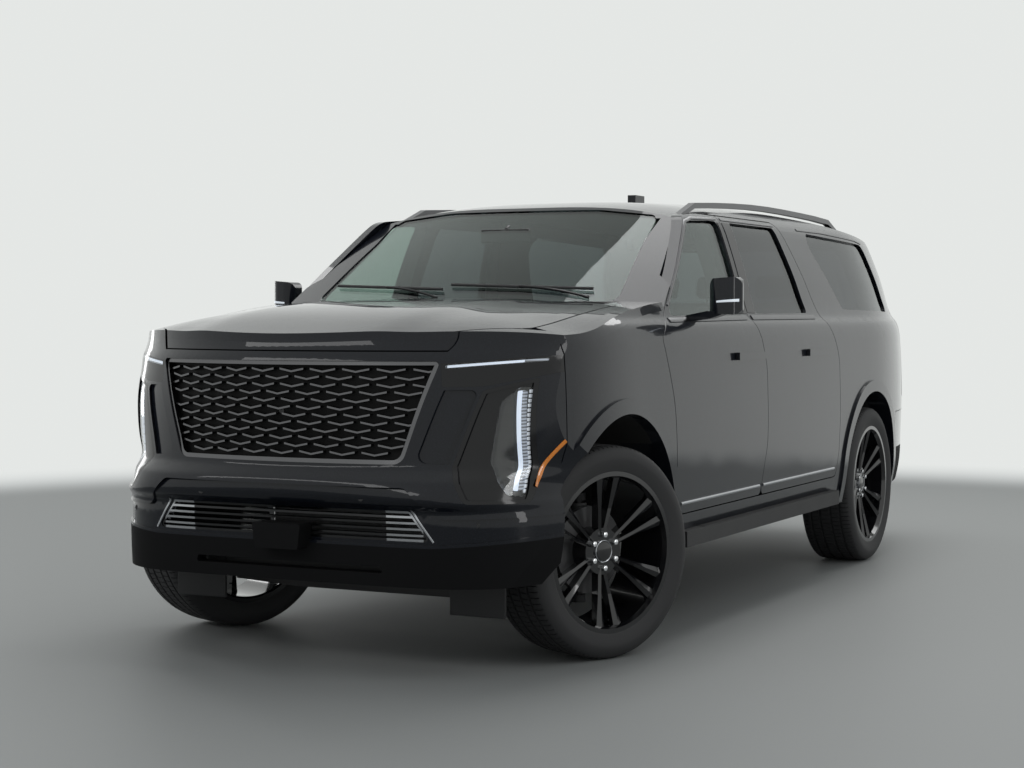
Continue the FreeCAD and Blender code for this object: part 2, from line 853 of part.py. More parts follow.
def front_place(x, z):
    """Point of an outline seen from the front."""
    return Vector(x, -2000, z)


screen_prism = prism(rounded(SCREEN, front_place), (0, 1500, 0))
screen_layer = slab(face_rows(screen_face, SCREEN_ROWS, 10), face_rows(screen_face, SCREEN_ROWS, 22))
screen_hole = prism(rounded(grown(SCREEN, -size("seat_gap")), front_place), (0, 1500, 0))
node("windscreen", screen_hole.common(screen_layer))

roof_seam_box = box(-ROOF_SEAM, ROOF_SEAM, -1290, 2790, 1600, 1960)
roof_front = box(-ROOF_SEAM, ROOF_SEAM, -1200, 2600, 1780, 1960)
roof_panel = less(roof_front.common(roof_layer).common(screen_form), screen_prism, gate_cutter(-size("gap")))
pod = box(-22, 22, 480, 600, 1890, 1972)
header_block = box(-640, 640, GATE_SEAM_Y - 190, GATE_SEAM_Y - 90, 1735, 1900).common(roof_form)


def gate_leaf(x):
    """Liftgate hinge leaf with its pin, hung from the roof's rear header."""
    y = size("gate_hinge_y")
    z = size("gate_hinge_height")
    half = size("leaf_height") / 2
    arm = box(x - half, x + half, y - LEAF_HALF, y + LEAF_HALF, z - 85, z)
    neck = box(x - half, x + half, y - 150, y + LEAF_HALF, z - 85, z - 68)
    eye = rod(size("pin_radius") + 3, (x - half, y, z), (x + half, y, z))
    pin = rod(size("pin_radius"), (x - half - 25, y, z), (x + half + 25, y, z))
    return joined([arm, neck, eye, pin])


def gate_notch(x):
    """Room for a liftgate hinge leaf, with the bore of its pin."""
    y = size("gate_hinge_y")
    z = size("gate_hinge_height")
    half = size("leaf_height") / 2 + size("gap")
    room = box(x - half, x + half, y - 300, y + 12, z - 300, z + 12)
    bore = rod(size("pin_radius") + size("pin_fit"), (x - half - 23, y, z), (x + half + 23, y, z))
    return [room, bore]


GATE_HINGES = (-450, 450)
roof = joined([roof_panel, header_block, pod] + [gate_leaf(x) for x in GATE_HINGES])
node("roof_panel", roof)


def arch(radius, y, z, x_in):
    """Room of a wheel arch on the left."""
    return rod(radius, (x_in, y, z), (1300, y, z))


front_arch = (size("front_arch_y"), size("front_arch_height"))
rear_arch = (size("rear_arch_y"), size("rear_arch_height"))
arch_front = arch(size("arch_radius"), *front_arch, 450)
arch_rear = arch(size("rear_arch_radius"), *rear_arch, 690)


def moulding(radius, y, z):
    """Ring round a wheel arch, standing out from the skin."""
    ring = arch(radius + size("moulding_width"), y, z, 850).cut(arch(radius, y, z, 800))
    ring = ring.common(box(0, 1300, -3000, 3000, size("sill_bottom"), 2000))
    return ring.common(side_layer(flat(-size("moulding_depth")), flat(size("panel_wall"))))


front_moulding = moulding(size("arch_radius"), *front_arch)
rear_moulding = moulding(size("rear_arch_radius"), *rear_arch)

k_belt = 1330
sill = box(300, 1300, -1598, 980, size("sill_bottom"), size("door_bottom") - size("gap"))
a_post = box(300, 1300, -1598, -1300, size("sill_bottom"), k_belt)
b_post = box(300, 1300, -560, -400, size("sill_bottom"), k_belt)
b_pillar = box(300, 1300, -560, -364, k_belt, 1850)
rail_band = box(300, 1300, -780, 1700, 1770, 1960)
d_zone = box(300, 1300, 480, 2795, size("sill_bottom"), 1960)
a_pillar = box(640, 1300, -1598, -560, k_belt - 4, 1960)

low_side = joined([sill, a_post, b_post]).common(post_layer)
high_side = joined([b_pillar, rail_band]).common(post_layer).common(roof_form).common(screen_form)
pillar_band = slab(face_rows(screen_face, SCREEN_ROWS, 0), face_rows(screen_face, SCREEN_ROWS, 90))
a_pillar = a_pillar.common(pillar_band).common(skin_side).common(roof_form)
d_side = less(d_zone, joined([sill, rail_band]), box(0, 1300, 2010, 3000, 0, size("bumper_top") + 4))
d_side = d_side.common(door_layer).common(roof_form).common(tail_form)
front_through = rounded(
    (
        on_skin(1008, -1394, size("door_bottom") + 34, 40),
        on_skin(1003, -1548, 1250, 30),
        on_skin(968, -1433, 1322, 60),
        on_skin(800, -780, 1766, 130),
        on_skin(795, -600, 1776, 200),
        on_skin(795, -450, 1776, 20),
        on_skin(1008, -490, size("door_bottom") + 34, 60),
    ),
    side_place,
)
rear_through = rounded(
    (
        on_skin(1008, -366, size("door_bottom") + 34, 30),
        on_skin(1018, -281, 740, 200),
        on_skin(1018, -281, 1110, 200),
        on_skin(955, -384, 1352, 60),
        on_skin(795, -346, 1776, 8),
        on_skin(795, 430, 1776, 60),
        on_skin(950, 640, 1350, 200),
        on_skin(1012, 800, 1140, 200),
        on_skin(1018, 800, 640, 60),
        on_skin(1008, 760, size("door_bottom") + 34, 40),
    ),
    side_place,
)
front_cuts = [front_opening.common(room_layer), slanted(front_through)]
rear_cuts = [rear_opening.common(room_layer), slanted(rear_through)]


def sweep(hinge_y, reach, low, high):
    """Room for a door corner that turns about its hinge axis on the left."""
    return Part.makeCylinder(reach, high - low, Vector(size("hinge_x"), hinge_y, low))


SILL_TOP = size("door_bottom") - size("gap")
front_sweep = sweep(size("front_hinge_y"), size("front_sweep"), SILL_TOP, SILL_TOP + 45)
rear_sweep = sweep(size("rear_hinge_y"), size("rear_sweep"), 1766, size("sweep_top"))
rear_sweep = rear_sweep.common(box(300, 1300, -400, 400, 1700, 1900))
low_side = less(low_side, front_sweep, *front_cuts, *rear_cuts)
high_side = less(high_side, rear_sweep, *front_cuts, *rear_cuts)
a_pillar = less(a_pillar, screen_prism, *front_cuts)
d_side = less(d_side, window_prism(QUARTER_WINDOW), arch_rear, *rear_cuts)
leaves = [door_leaf(size("front_hinge_y"), z, ahead) for z, ahead in zip(FRONT_HINGE_HEIGHTS, (125, 175))]
leaves += [door_leaf(size("rear_hinge_y"), z, 205) for z in REAR_HINGE_HEIGHTS]
rear_corner = box(600, 1300, 2300, 2795, size("bumper_top") + 4, 1960)
rear_corner = rear_corner.common(tail_layer).common(skin_side).common(roof_form)
rear_corner = rear_corner.cut(door_layer)
TAIL_LAMP = (
    (640, 868, 0),
    (990, 868, 20),
    (965, 1300, 40),
    (880, 1660, 40),
    (640, 1660, 0),
)
tail_lamp_room = prism(rounded(TAIL_LAMP, rear_place), (0, 1300, 0)).common(box(500, 1300, 2380, 3100, 800, 1700))
gate_room = gate_room_prism.common(gate_room_limit)
tail_lamp = tail_lamp_room.common(skin_side).common(tail_layer).cut(gate_room)

# Fenders, bonnet, cowl and bulkhead

BONNET = (
    (-size("bonnet_half_width"), size("bonnet_rear_y"), 20),
    (-size("bonnet_half_width"), -2440, 150),
    (-612, -2716, 40),
    (-612, size("bonnet_front_y"), 0),
    (612, size("bonnet_front_y"), 0),
    (612, -2716, 40),
    (size("bonnet_half_width"), -2440, 150),
    (size("bonnet_half_width"), size("bonnet_rear_y"), 20),
)


def plan_place(x, y):
    """Point of an outline seen from above."""
    return Vector(x, y, size("bonnet_low_height"))


bonnet_zone = prism(rounded(BONNET, plan_place), (0, 0, 300))
bonnet_room = prism(rounded(grown(BONNET, size("gap") + size("lid_room")), plan_place), (0, 0, 300))
bonnet_room = joined([bonnet_room, bonnet_room.translated(Vector(0, 0, -size("gap")))])
bonnet_skin = bonnet_zone.common(bonnet_layer).common(nose_form)
nose_block = box(-1060, 1060, -2990, -2405, size("bonnet_low_height"), 1450).common(nose_layer)
bonnet_nose = nose_block.common(bonnet_form).common(bonnet_zone)


def bonnet_arm(x):
    """Bonnet hinge arm with its eye."""
    y = size("bonnet_hinge_y")
    z = size("bonnet_hinge_height")
    top = bonnet_top(x, size("bonnet_rear_y")) - 20
    corners = [
        Vector(x, y + 14, z - 12),
        Vector(x, y + 14, z + 12),
        Vector(x, size("bonnet_rear_y") - 10, top - 10),
        Vector(x, size("bonnet_rear_y") - 150, top),
        Vector(x, size("bonnet_rear_y") - 150, top - 30),
        Vector(x, size("bonnet_rear_y"), z - 14),
    ]
    plate = prism(Part.makePolygon(corners + corners[:1]), (12, 0, 0))
    bore = rod(size("pin_radius") + size("pin_fit"), (x - 5, y, z), (x + 20, y, z))
    return plate.cut(bore)


ARM_X = 700
arms = [bonnet_arm(x) for x in (ARM_X, -ARM_X - 12)]
bonnet = joined([bonnet_skin, bonnet_nose] + arms)
node("bonnet", bonnet)

fender_zone = box(300, 1300, -2400, -1380, size("sill_bottom"), 1450)
fender_side = fender_zone.common(side_layer(flat(0.0), flat(size("panel_wall")))).common(bonnet_form)
fender_top = box(780, 1300, -2440, -1380, 1100, 1450).common(bonnet_layer).common(skin_side)
fender = joined([fender_side, fender_top, front_moulding])
fender = less(fender, bonnet_room, front_opening, arch_front, screen_prism)
fender = fender.common(nose_form)
fender = fender.cut(box(0, 1300, -3000, -2405, 0, 1500))
pair("fender", fender)

rear_moulding = rear_moulding.common(box(0, 1300, 0, 3000, 0, 1330))
low_side = joined([less(low_side, fender, arch_front)] + leaves)
d_side = less(joined([d_side, rear_corner, rear_moulding]), gate_room, tail_lamp_room)
body_side = joined([low_side, less(a_pillar, bonnet_room, fender), high_side, d_side]).cut(roof_seam_box)
pair("body_side", body_side)
node("tail_lamps", Part.makeCompound(both(tail_lamp)))

BULKHEAD = (
    (-1432, size("floor_height"), 0),
    (-1432, 965, 60),
    (-1610, 1150, 60),
    (-1610, 1336, 0),
    (-1592, 1336, 0),
    (-1592, 1158, 50),
    (-1414, 973, 50),
    (-1414, size("floor_height"), 0),
)


def centre_place(y, z):
    """Point of a side outline on the bulkhead's right end."""
    return Vector(-900, y, z)


firewall = prism(rounded(BULKHEAD, centre_place), (1800, 0, 0))
cowl = box(-835, 835, -1612, -1395, 1310, 1402).common(bonnet_form)
cowl = less(cowl, box(-760, 760, -1592, -1430, 1328, 1390))
cowl = less(cowl, box(-1300, 1300, -1800, -1555, 1330, 1500))


def bonnet_bracket(x, way):
    """Post on the cowl with the pin of a bonnet hinge."""
    y = size("bonnet_hinge_y")
    z = size("bonnet_hinge_height")
    post = box(min(x, x + 12 * way), max(x, x + 12 * way), y - 12, y + 12, 1318, z + 12)
    pin = rod(size("pin_radius"), (x + 6 * way, y, z), (x - 22 * way, y, z))
    return joined([post, pin])


brackets = [bonnet_bracket(ARM_X + 18, 1), bonnet_bracket(-ARM_X - 18, -1)]
bulkhead = joined([firewall, cowl] + brackets)
bulkhead = less(bulkhead, body_side, mirrored(body_side), fender, mirrored(fender), screen_prism.common(screen_layer))
bulkhead = bulkhead.common(box(-830, 830, -1700, -1300, 0, 1420))
node("bulkhead", bulkhead)

# Liftgate and its window

REAR_WINDOW_OUTLINE = (
    (-640, 1385, 40),
    (640, 1385, 40),
    (575, 1725, 50),
    (-575, 1725, 50),
)
gate_zone = gate_prism.common(gate_limit)
gate_top = gate_zone.common(roof_layer).common(tail_form)
gate_back = gate_zone.common(gate_layer).common(roof_form)
bosses = []
for x in GATE_HINGES:
    for s in (-1, 1):
        inner = x + s * (size("leaf_height") / 2 + size("gap"))
        outer = inner + s * 34
        y = size("gate_hinge_y")
        z = size("gate_hinge_height")
        bosses.append(box(min(inner, outer), max(inner, outer), y - 18, y + 18, z - 20, z + 14))
gate_cuts = [c for x in GATE_HINGES for c in gate_notch(x)]
rear_hole = prism(rounded(REAR_WINDOW_OUTLINE, rear_place), (0, 1300, 0))
PLATE_POCKET = (
    (-285, 955, 24),
    (285, 955, 24),
    (265, 1125, 24),
    (-265, 1125, 24),
)
plate_layer = slab(face_rows(tail_face, TAIL_ROWS, 10), face_rows(tail_face, TAIL_ROWS, -size("plate_depth")))
plate_pocket = prism(rounded(PLATE_POCKET, rear_place), (0, 1300, 0)).common(plate_layer)
liftgate = less(joined([gate_top, gate_back] + bosses), rear_hole, plate_pocket, *gate_cuts)
node("liftgate", liftgate)
rear_pane_layer = slab(face_rows(tail_face, TAIL_ROWS, -18), face_rows(tail_face, TAIL_ROWS, -26))
rear_pane = prism(rounded(grown(REAR_WINDOW_OUTLINE, -size("seat_gap")), rear_place), (0, 1300, 0))
node("rear_window", rear_pane.common(rear_pane_layer))

# Bumpers, grille and lamps

GRILLE = (
    (-490, 799, 50),
    (490, 799, 50),
    (616, 1178, 14),
    (-616, 1178, 14),
)
LOWER_GRILLE = (
    (-608, 519, 14),
    (608, 519, 14),
    (525, 631, 14),
    (-525, 631, 14),
)
POD = (
    (665, 790, 24),
    (737, 662, 24),
    (900, 657, 12),
    (903, 866, 400),
    (908, 1116, 6),
    (753, 1070, 24),
)
LENS = (
    (776, 804, 24),
    (841, 688, 14),
    (878, 680, 8),
    (890, 1080, 8),
    (856, 1082, 12),
    (806, 1028, 24),
)
BROW = (
    (624, 1082, 8),
    (758, 1085, 150),
    (908, 1121, 20),
    (985, 1140, 6),
    (985, 1201, 6),
    (617, 1169, 6),
)
STRIP = (
    (632, 1149, 3),
    (926, 1175, 3),
    (925, 1190, 3),
    (632, 1164, 3),
)
COLUMN = (
    (850, 702, 6),
    (868, 702, 6),
    (865, 1068, 6),
    (847, 1068, 6),
)
CHEEK = (
    (536, 806, 30),
    (655, 800, 4),
    (742, 1072, 20),
    (632, 1072, 8),
)
BAND = (
    (-1010, 607, 0),
    (-647, 605, 40),
    (-530, 720, 40),
    (530, 720, 40),
    (647, 605, 40),
    (1010, 607, 0),
    (1010, 540, 0),
    (640, 508, 30),
    (-640, 508, 30),
    (-1010, 540, 0),
)
INTAKE = (
    (-415, 398, 8),
    (415, 398, 8),
    (405, 424, 8),
    (-405, 424, 8),
)
SENSOR = (
    (-95, 476, 10),
    (95, 476, 10),
    (107, 571, 10),
    (-107, 571, 10),
)


def front_hole(corners, shrink=0.0):
    """Solid through an outline seen from the front."""
    place = lambda x, z: Vector(x, -3000, z)
    return prism(rounded(grown(corners, -shrink), place), (0, 640, 0))


def nose_slab(near, far):
    """Solid between two depths behind the front face."""
    return slab(face_rows(nose_face, NOSE_ROWS, near), face_rows(nose_face, NOSE_ROWS, far))


fascia = box(-1060, 1060, -2990, -2405, size("fascia_bottom"), 1450).common(nose_layer).common(bonnet_form)
fascia = fascia.common(across_sides(-1300, 1300, -2995, -2300, 200, 1480))
lamp_holes = [front_hole(POD), front_hole(BROW)]
lamp_holes += [mirrored(hole) for hole in lamp_holes]
step_layer = nose_slab(-8, size("fascia_step"))
steps = [front_hole(corners).common(step_layer) for corners in (CHEEK, BAND)]
steps.append(mirrored(steps[0]))
fascia = less(fascia, bonnet_room, *steps)
fascia = less(fascia, front_hole(GRILLE), front_hole(LOWER_GRILLE), front_hole(INTAKE), *lamp_holes)
sensor = front_hole(SENSOR).common(box(-200, 200, -2886, -2796, 400, 600))
node("front_bumper", joined([fascia, sensor]))

# Lamps: a housing with a bezel, a clear cover in its mouth and a bar of light behind the cover

COVER_WALL = 4


def pod_housing():
    """Housing of the left low lamp."""
    body = front_hole(POD, size("seat_gap")).common(nose_slab(0, 66))
    face = front_hole(POD, size("bezel_width")).common(nose_slab(-8, size("bezel_depth")))
    pocket = front_hole(LENS).common(nose_slab(-8, size("pocket_depth")))
    return less(body, face, pocket)


def brow_housing():
    """Housing of the left upper lamp."""
    body = front_hole(BROW, size("seat_gap")).common(nose_slab(0, 60))
    pocket = front_hole(STRIP).common(nose_slab(-8, 24))
    return less(body, pocket)


pod_cover = front_hole(LENS, size("seat_gap")).common(nose_slab(size("bezel_depth") - 3, size("bezel_depth") + 2))
strip_cover = front_hole(STRIP, size("seat_gap")).common(nose_slab(0, COVER_WALL))
column_bar = front_hole(COLUMN).common(nose_slab(size("bezel_depth") + 5, size("pocket_depth")))
strip_bar = front_hole(STRIP, 3).common(nose_slab(COVER_WALL + 4, 24))
front_room = box(-1060, 1060, -2990, -2406, 300, 1450)


def front_lamp(label, shapes):
    """Node of lamp pieces and their mirror images, inside the outer skins."""
    pieces = []
    for shape in shapes:
        inside = shape.common(skin_side).common(bonnet_form).common(front_room)
        pieces += both(less(inside, bonnet_room))
    node(label, Part.makeCompound(pieces))


front_lamp("headlamps", [pod_cover, strip_cover])
front_lamp("lamp_housings", [pod_housing(), brow_housing()])
front_lamp("light_bars", [column_bar, strip_bar])

# Grilles: staggered rows of chevrons on a bowed plate above, level bars below

MESH_ACROSS = (-680, -510, -340, -170, 0, 170, 340, 510, 680)
MESH_ROWS = (770, 850, 950, 1060, 1140, 1200)


def mesh_slab(near, far):
    """Solid between two depths behind the grille's own smooth face."""
    rows = [[[Vector(x, nose_face(x, z) + d, z) for z in MESH_ROWS] for x in MESH_ACROSS] for d in (near, far)]
    return slab(*rows)


def chevron(left, middle, right, z):
    """One V bar between two places across the grille, with its point at middle."""
    half = size("chevron_width") / 2
    rise = size("chevron_rise")
    bar = size("chevron_bar") / 2
    spots = sorted({left, min(max(middle, left), right), right})
    line = [(x, z - rise / 2 + rise * abs(x - middle) / half) for x in spots]
    corners = [Vector(x, -3000, b - bar) for x, b in line] + [Vector(x, -3000, b + bar) for x, b in reversed(line)]
    seen = prism(Part.makePolygon(corners + corners[:1]), (0, 640, 0))
    front = [Vector(x, nose_face(x, z) + size("chevron_depth"), z - 20) for x in spots]
    back = [Vector(x, nose_face(x, z) + size("plate_front") + 2, z - 20) for x in reversed(spots)]
    plan = prism(Part.makePolygon(front + back + front[:1]), (0, 0, 40))
    return seen.common(plan)


def chevrons():
    """Wide shallow V bars in staggered rows."""
    half = size("chevron_width") / 2
    low = GRILLE[0][1] + size("grille_rim") + 6
    high = GRILLE[2][1] - size("grille_rim") - 6
    rows = int((high - low) / size("chevron_row"))
    flare = (GRILLE[2][0] - GRILLE[1][0]) / (GRILLE[2][1] - GRILLE[1][1])
    pieces = []
    for n in range(rows):
        z = low + (n + 0.5) * (high - low) / rows
        reach = GRILLE[1][0] + (z - GRILLE[1][1]) * flare - size("grille_rim") - 6
        count = int(reach / size("chevron_pitch")) + 1
        for k in range(-count, count + 1):
            x = (k + (n % 2) / 2) * size("chevron_pitch")
            left = max(x - half, -reach)
            right = min(x + half, reach)
            if right - left > half / 2:
                pieces.append(chevron(left, x, right, z))
    return pieces


def upper_grille():
    """Plate, rim and chevrons of the upper grille."""
    whole = front_hole(GRILLE, size("seat_gap"))
    plate = whole.common(mesh_slab(size("plate_front"), size("plate_front") + 8))
    ring = whole.cut(front_hole(GRILLE, size("grille_rim"))).common(mesh_slab(6, size("plate_front") + 4))
    return joined([plate, ring] + chevrons())


def lower_grille():
    """Level bars of the lower grille in their frame."""
    whole = front_hole(LOWER_GRILLE, size("seat_gap"))
    frame = whole.cut(front_hole(LOWER_GRILLE, 9))
    pitch = (631 - 519) / 5
    half = size("lower_bar") / 2
    bars = []
    for n in range(1, 5):
        z = 519 + pitch * n
        bars.append(box(-700, 700, -3000, -2300, z - half, z + half).common(whole))
    layer = nose_slab(size("fascia_step") + 4, size("fascia_step") + 40)
    return less(joined([frame] + bars).common(layer), sensor)


node("grille", Part.makeCompound([upper_grille(), greatest(lower_grille())]))

rear_fascia = box(0, 1300, 2014, 2990, 380, size("bumper_top"))
rear_back = rear_fascia.common(tail_layer).common(skin_side)
rear_side = rear_fascia.common(side_layer(flat(0.0), flat(size("panel_wall")))).common(tail_form)
arch_ring = arch(size("rear_arch_radius") + size("moulding_width") + size("gap"), *rear_arch, 800)
rear_bumper = less(joined([rear_back, rear_side]), arch_ring)
rear_bumper = joined(both(rear_bumper))
node("rear_bumper", rear_bumper)

# Floor, wheel housings and chassis

HOUSING_X = 684
FLOOR = (
    (-1414, size("floor_height"), 0),
    (925, size("floor_height"), 0),
    (925, size("load_floor_height"), 0),
    (2560, size("load_floor_height"), 0),
    (2560, size("load_floor_height") + size("floor_wall"), 0),
    (895, size("load_floor_height") + size("floor_wall"), 0),
    (895, size("floor_height") + size("floor_wall"), 0),
    (-1414, size("floor_height") + size("floor_wall"), 0),
)
floor_middle = prism(rounded(FLOOR, lambda y, z: Vector(-HOUSING_X, y, z)), (2 * HOUSING_X, 0, 0))
wing = box(HOUSING_X, 960, -1414, 955, size("floor_height"), size("floor_height") + size("floor_wall"))
wing = less(wing, body_side)
wing = largest(wing)
back_wing = box(HOUSING_X, 1000, 1975, 2560, size("load_floor_height"), size("load_floor_height") + size("floor_wall"))
back_wing = largest(less(back_wing, body_side, arch(size("rear_arch_radius") + 6, *rear_arch, 600)).common(skin_side))
floor_pan = joined([floor_middle, wing, mirrored(wing), back_wing, mirrored(back_wing)])
floor_pan = less(floor_pan, rear_bumper)
node("floor_pan", floor_pan)

HOUSING_WALL = 6


def housing(radius, y, z, x_in, closed):
    """Wheel housing on the left, over the upper half of the wheel."""
    outer = rod(radius + HOUSING_WALL, (x_in, y, z), (1100, y, z))
    inner = rod(radius, (x_in + (HOUSING_WALL if closed else -1), y, z), (1101, y, z))
    shell = outer.cut(inner).common(box(0, 1100, y - 900, y + 900, z - (0 if not closed else 0), 2000))
    return shell.common(skin_side)


front_housing = housing(size("arch_radius"), *front_arch, 452, False)
front_housing = less(front_housing, body_side, fender, fascia, bulkhead)
rear_housing = housing(size("rear_arch_radius"), *rear_arch, HOUSING_X, True)
axle_room = box(600, 760, size("rear_axle_y") - 90, size("rear_axle_y") + 90, 380, 560)
rear_housing = less(rear_housing, body_side, floor_pan, rear_bumper, axle_room)
node("wheel_housings", Part.makeCompound(both(greatest(front_housing)) + both(greatest(rear_housing))))

rail_half = size("rail_width") / 2
low_top = size("floor_height")
high_top = size("load_floor_height")
depth = size("rail_depth")
RAIL = (
    (-2680, low_top - depth, 0),
    (1055, low_top - depth, 120),
    (1245, high_top - depth, 120),
    (2640, high_top - depth, 0),
    (2640, high_top, 0),
    (1200, high_top, 120),
    (1010, low_top, 120),
    (-2680, low_top, 0),
)
rail = prism(rounded(RAIL, lambda y, z: Vector(size("rail_x") - rail_half, y, z)), (size("rail_width"), 0, 0))
inner_x = size("rail_x") - rail_half
members = [box(-inner_x, inner_x, y - 35, y + 35, low_top - 105, low_top - 20) for y in (-2640, -1200, -300, 600)]
members += [box(-inner_x, inner_x, y - 35, y + 35, high_top - 105, high_top - 20) for y in (1250, 2600)]
pad_half = size("pad_width") / 2
pad_low = low_top - depth - size("pad_height")
pads = []
for y in (-950, 800):
    for x in (size("rail_x"), -size("rail_x")):
        pads.append(box(x - pad_half, x + pad_half, y - pad_half, y + pad_half, pad_low, low_top - depth))
chassis = joined([rail, mirrored(rail)] + members + pads)
node("chassis_frame", less(chassis, rear_bumper))

# Tow bar receiver: a square tube with a pin hole, hung from the last cross member

hitch_z = size("hitch_height")
socket_half = size("hitch_socket") / 2
tube_half = socket_half + size("hitch_wall")
socket = box(-socket_half, socket_half, 2500, 2800, hitch_z - socket_half, hitch_z + socket_half)
hitch = box(-tube_half, tube_half, 2480, 2760, hitch_z - tube_half, hitch_z + tube_half).cut(socket)
hitch = hitch.cut(rod(size("hitch_pin_radius"), (-50, 2700, hitch_z), (50, 2700, hitch_z)))
hitch_post = box(-60, 60, 2575, 2625, hitch_z + tube_half, high_top - 105)
node("hitch_receiver", joined([hitch, hitch_post]))

engine = bound(
    "Part::Box",
    "engine",
    x="-sizes.engine_width / 2",
    y="sizes.engine_y",
    z="sizes.engine_bottom",
    Length="sizes.engine_width",
    Width="sizes.engine_length",
    Height="sizes.engine_tall",
)
cross_mount = bound(
    "Part::Box",
    "engine_mount",
    x="sizes.rail_width / 2 - sizes.rail_x",
    y="sizes.mount_y",
    z="sizes.floor_height - 80",
    Length="2 * sizes.rail_x - sizes.rail_width",
    Width="sizes.mount_length",
    Height="sizes.engine_bottom - sizes.floor_height + 120",
)
keep(fused("engine_and_mount", [engine, cross_mount]), "engine_block")

# Running gear

kingpin = Vector(size("kingpin_x"), size("front_axle_y"), 0)
axle_z = size("tyre_radius")
cradle = box(-440, 440, -2060, -1800, 205, low_top - depth)


def arm_plate(x_in, half_in, z0, z1):
    """Suspension arm on the left, from the chassis to the kingpin."""
    y = size("front_axle_y")
    x_out = size("kingpin_x")
    corners = [Vector(x_in, y - half_in, z0), Vector(x_in, y + half_in, z0), Vector(x_out, y + 26, z0), Vector(x_out, y - 26, z0)]
    plate = prism(Part.makePolygon(corners + corners[:1]), (0, 0, z1 - z0))
    end = Part.makeCylinder(30, z1 - z0, Vector(x_out, y, z0))
    return joined([plate, end])


POST_LOW = 250
POST_HIGH = 600
BALL = 14
lower_arm = joined(
    [arm_plate(430, 130, 205, 235), Part.makeCylinder(BALL, 60, Vector(size("kingpin_x"), size("front_axle_y"), 230))]
)
upper_arm = joined(
    [arm_plate(440, 70, 610, 640), Part.makeCylinder(BALL, 50, Vector(size("kingpin_x"), size("front_axle_y"), 565))]
)
tower = box(inner_x, inner_x + size("rail_width"), -2000, -1860, low_top, 650)
front_suspension = joined([cradle, lower_arm, mirrored(lower_arm)])
upper_left = joined([upper_arm, tower])
node("front_suspension", Part.makeCompound([front_suspension, upper_left, mirrored(upper_left)]))

HUB_OUT = 33
SPINDLE_END = 118


def knuckle():
    """Steering knuckle on the left, set straight ahead, about its kingpin."""
    post = Part.makeCylinder(34, POST_HIGH - POST_LOW, Vector(0, 0, POST_LOW))
    fit = BALL + size("spindle_fit")
    bores = [Part.makeCylinder(fit, 45, Vector(0, 0, POST_LOW - 1)), Part.makeCylinder(fit, 45, Vector(0, 0, POST_HIGH - 40))]
    hub = rod(60, (10, 0, axle_z), (HUB_OUT, 0, axle_z))
    spindle = rod(size("spindle_radius"), (0, 0, axle_z), (SPINDLE_END, 0, axle_z))
    steering_arm = box(-12, 12, 20, 130, axle_z - 60, axle_z - 36)
    return less(joined([post, hub, spindle, steering_arm]), *bores)


def rim():
    """Wheel rim about the X axis, with its outboard face towards +X."""
    half = size("rim_width") / 2
    bead = size("bead_radius")
    wall = size("rim_wall")
    profile = (
        (-half, bead + 13), (-half + 8, bead + 13), (-half + 8, bead), (half - 8, bead), (half - 8, bead + 13),
        (half, bead + 13), (half, bead - 6), (half - 20, bead - wall), (-half + 8, bead - wall), (-half, bead - 6),
    )
    points = [Vector(x, 0, r) for x, r in profile]
    barrel = Part.Face(Part.makePolygon(points + points[:1])).revolve(Vector(0, 0, 0), Vector(1, 0, 0), 360)
    hub = rod(size("hub_radius"), (-30, 0, 0), (72, 0, 0))
    stations = (
        (58, 24, 74, 8),
        (170, 44, 92, 9),
        (bead - 10, half - 56, half - 14, 21),
    )
    wires = []
    for r, back, front, wide in stations:
        spots = ((back, -wide * 0.7), (front - 9, -wide), (front, 0), (front - 9, wide), (back, wide * 0.7))
        wires.append(Part.makePolygon([Vector(x, y, r) for x, y in spots + spots[:1]]))
    spoke = Part.makeLoft(wires, True, True)
    pairs = int(size("spoke_count") / 2)
    spokes = []
    for n in range(pairs):
        for s in (-size("spoke_spread"), size("spoke_spread")):
            spokes.append(spoke.rotated(Vector(0, 0, 0), Vector(1, 0, 0), 360.0 * n / pairs + s))
    bore = rod(size("spindle_radius") + size("spindle_fit"), (-40, 0, 0), (52, 0, 0))
    return joined([barrel, hub] + spokes).cut(bore)


# Half of a tyre's profile: each corner's distance across and its radius, as rules on the sheet

TYRE_PROFILE = (
    ("rim_width / 2 - sizes.lip_width", "bead_radius"),
    ("rim_width / 2 - sizes.lip_width", "bead_radius + sizes.bead_height"),
    ("tyre_width / 2", "bead_radius + sizes.sidewall_height"),
    ("tyre_width / 2 - 4", "tyre_radius - sizes.shoulder_drop"),
    ("tread_width / 2", "tyre_radius"),
)


def profile_values():
    """The same corners in millimetres."""
    seat = size("rim_width") / 2 - size("lip_width")
    bead = size("bead_radius")
    wide = size("tyre_width") / 2
    top = size("tyre_radius")
    return (
        (seat, bead),
        (seat, bead + size("bead_height")),
        (wide, bead + size("sidewall_height")),
        (wide - 4, top - size("shoulder_drop")),
        (size("tread_width") / 2, top),
    )


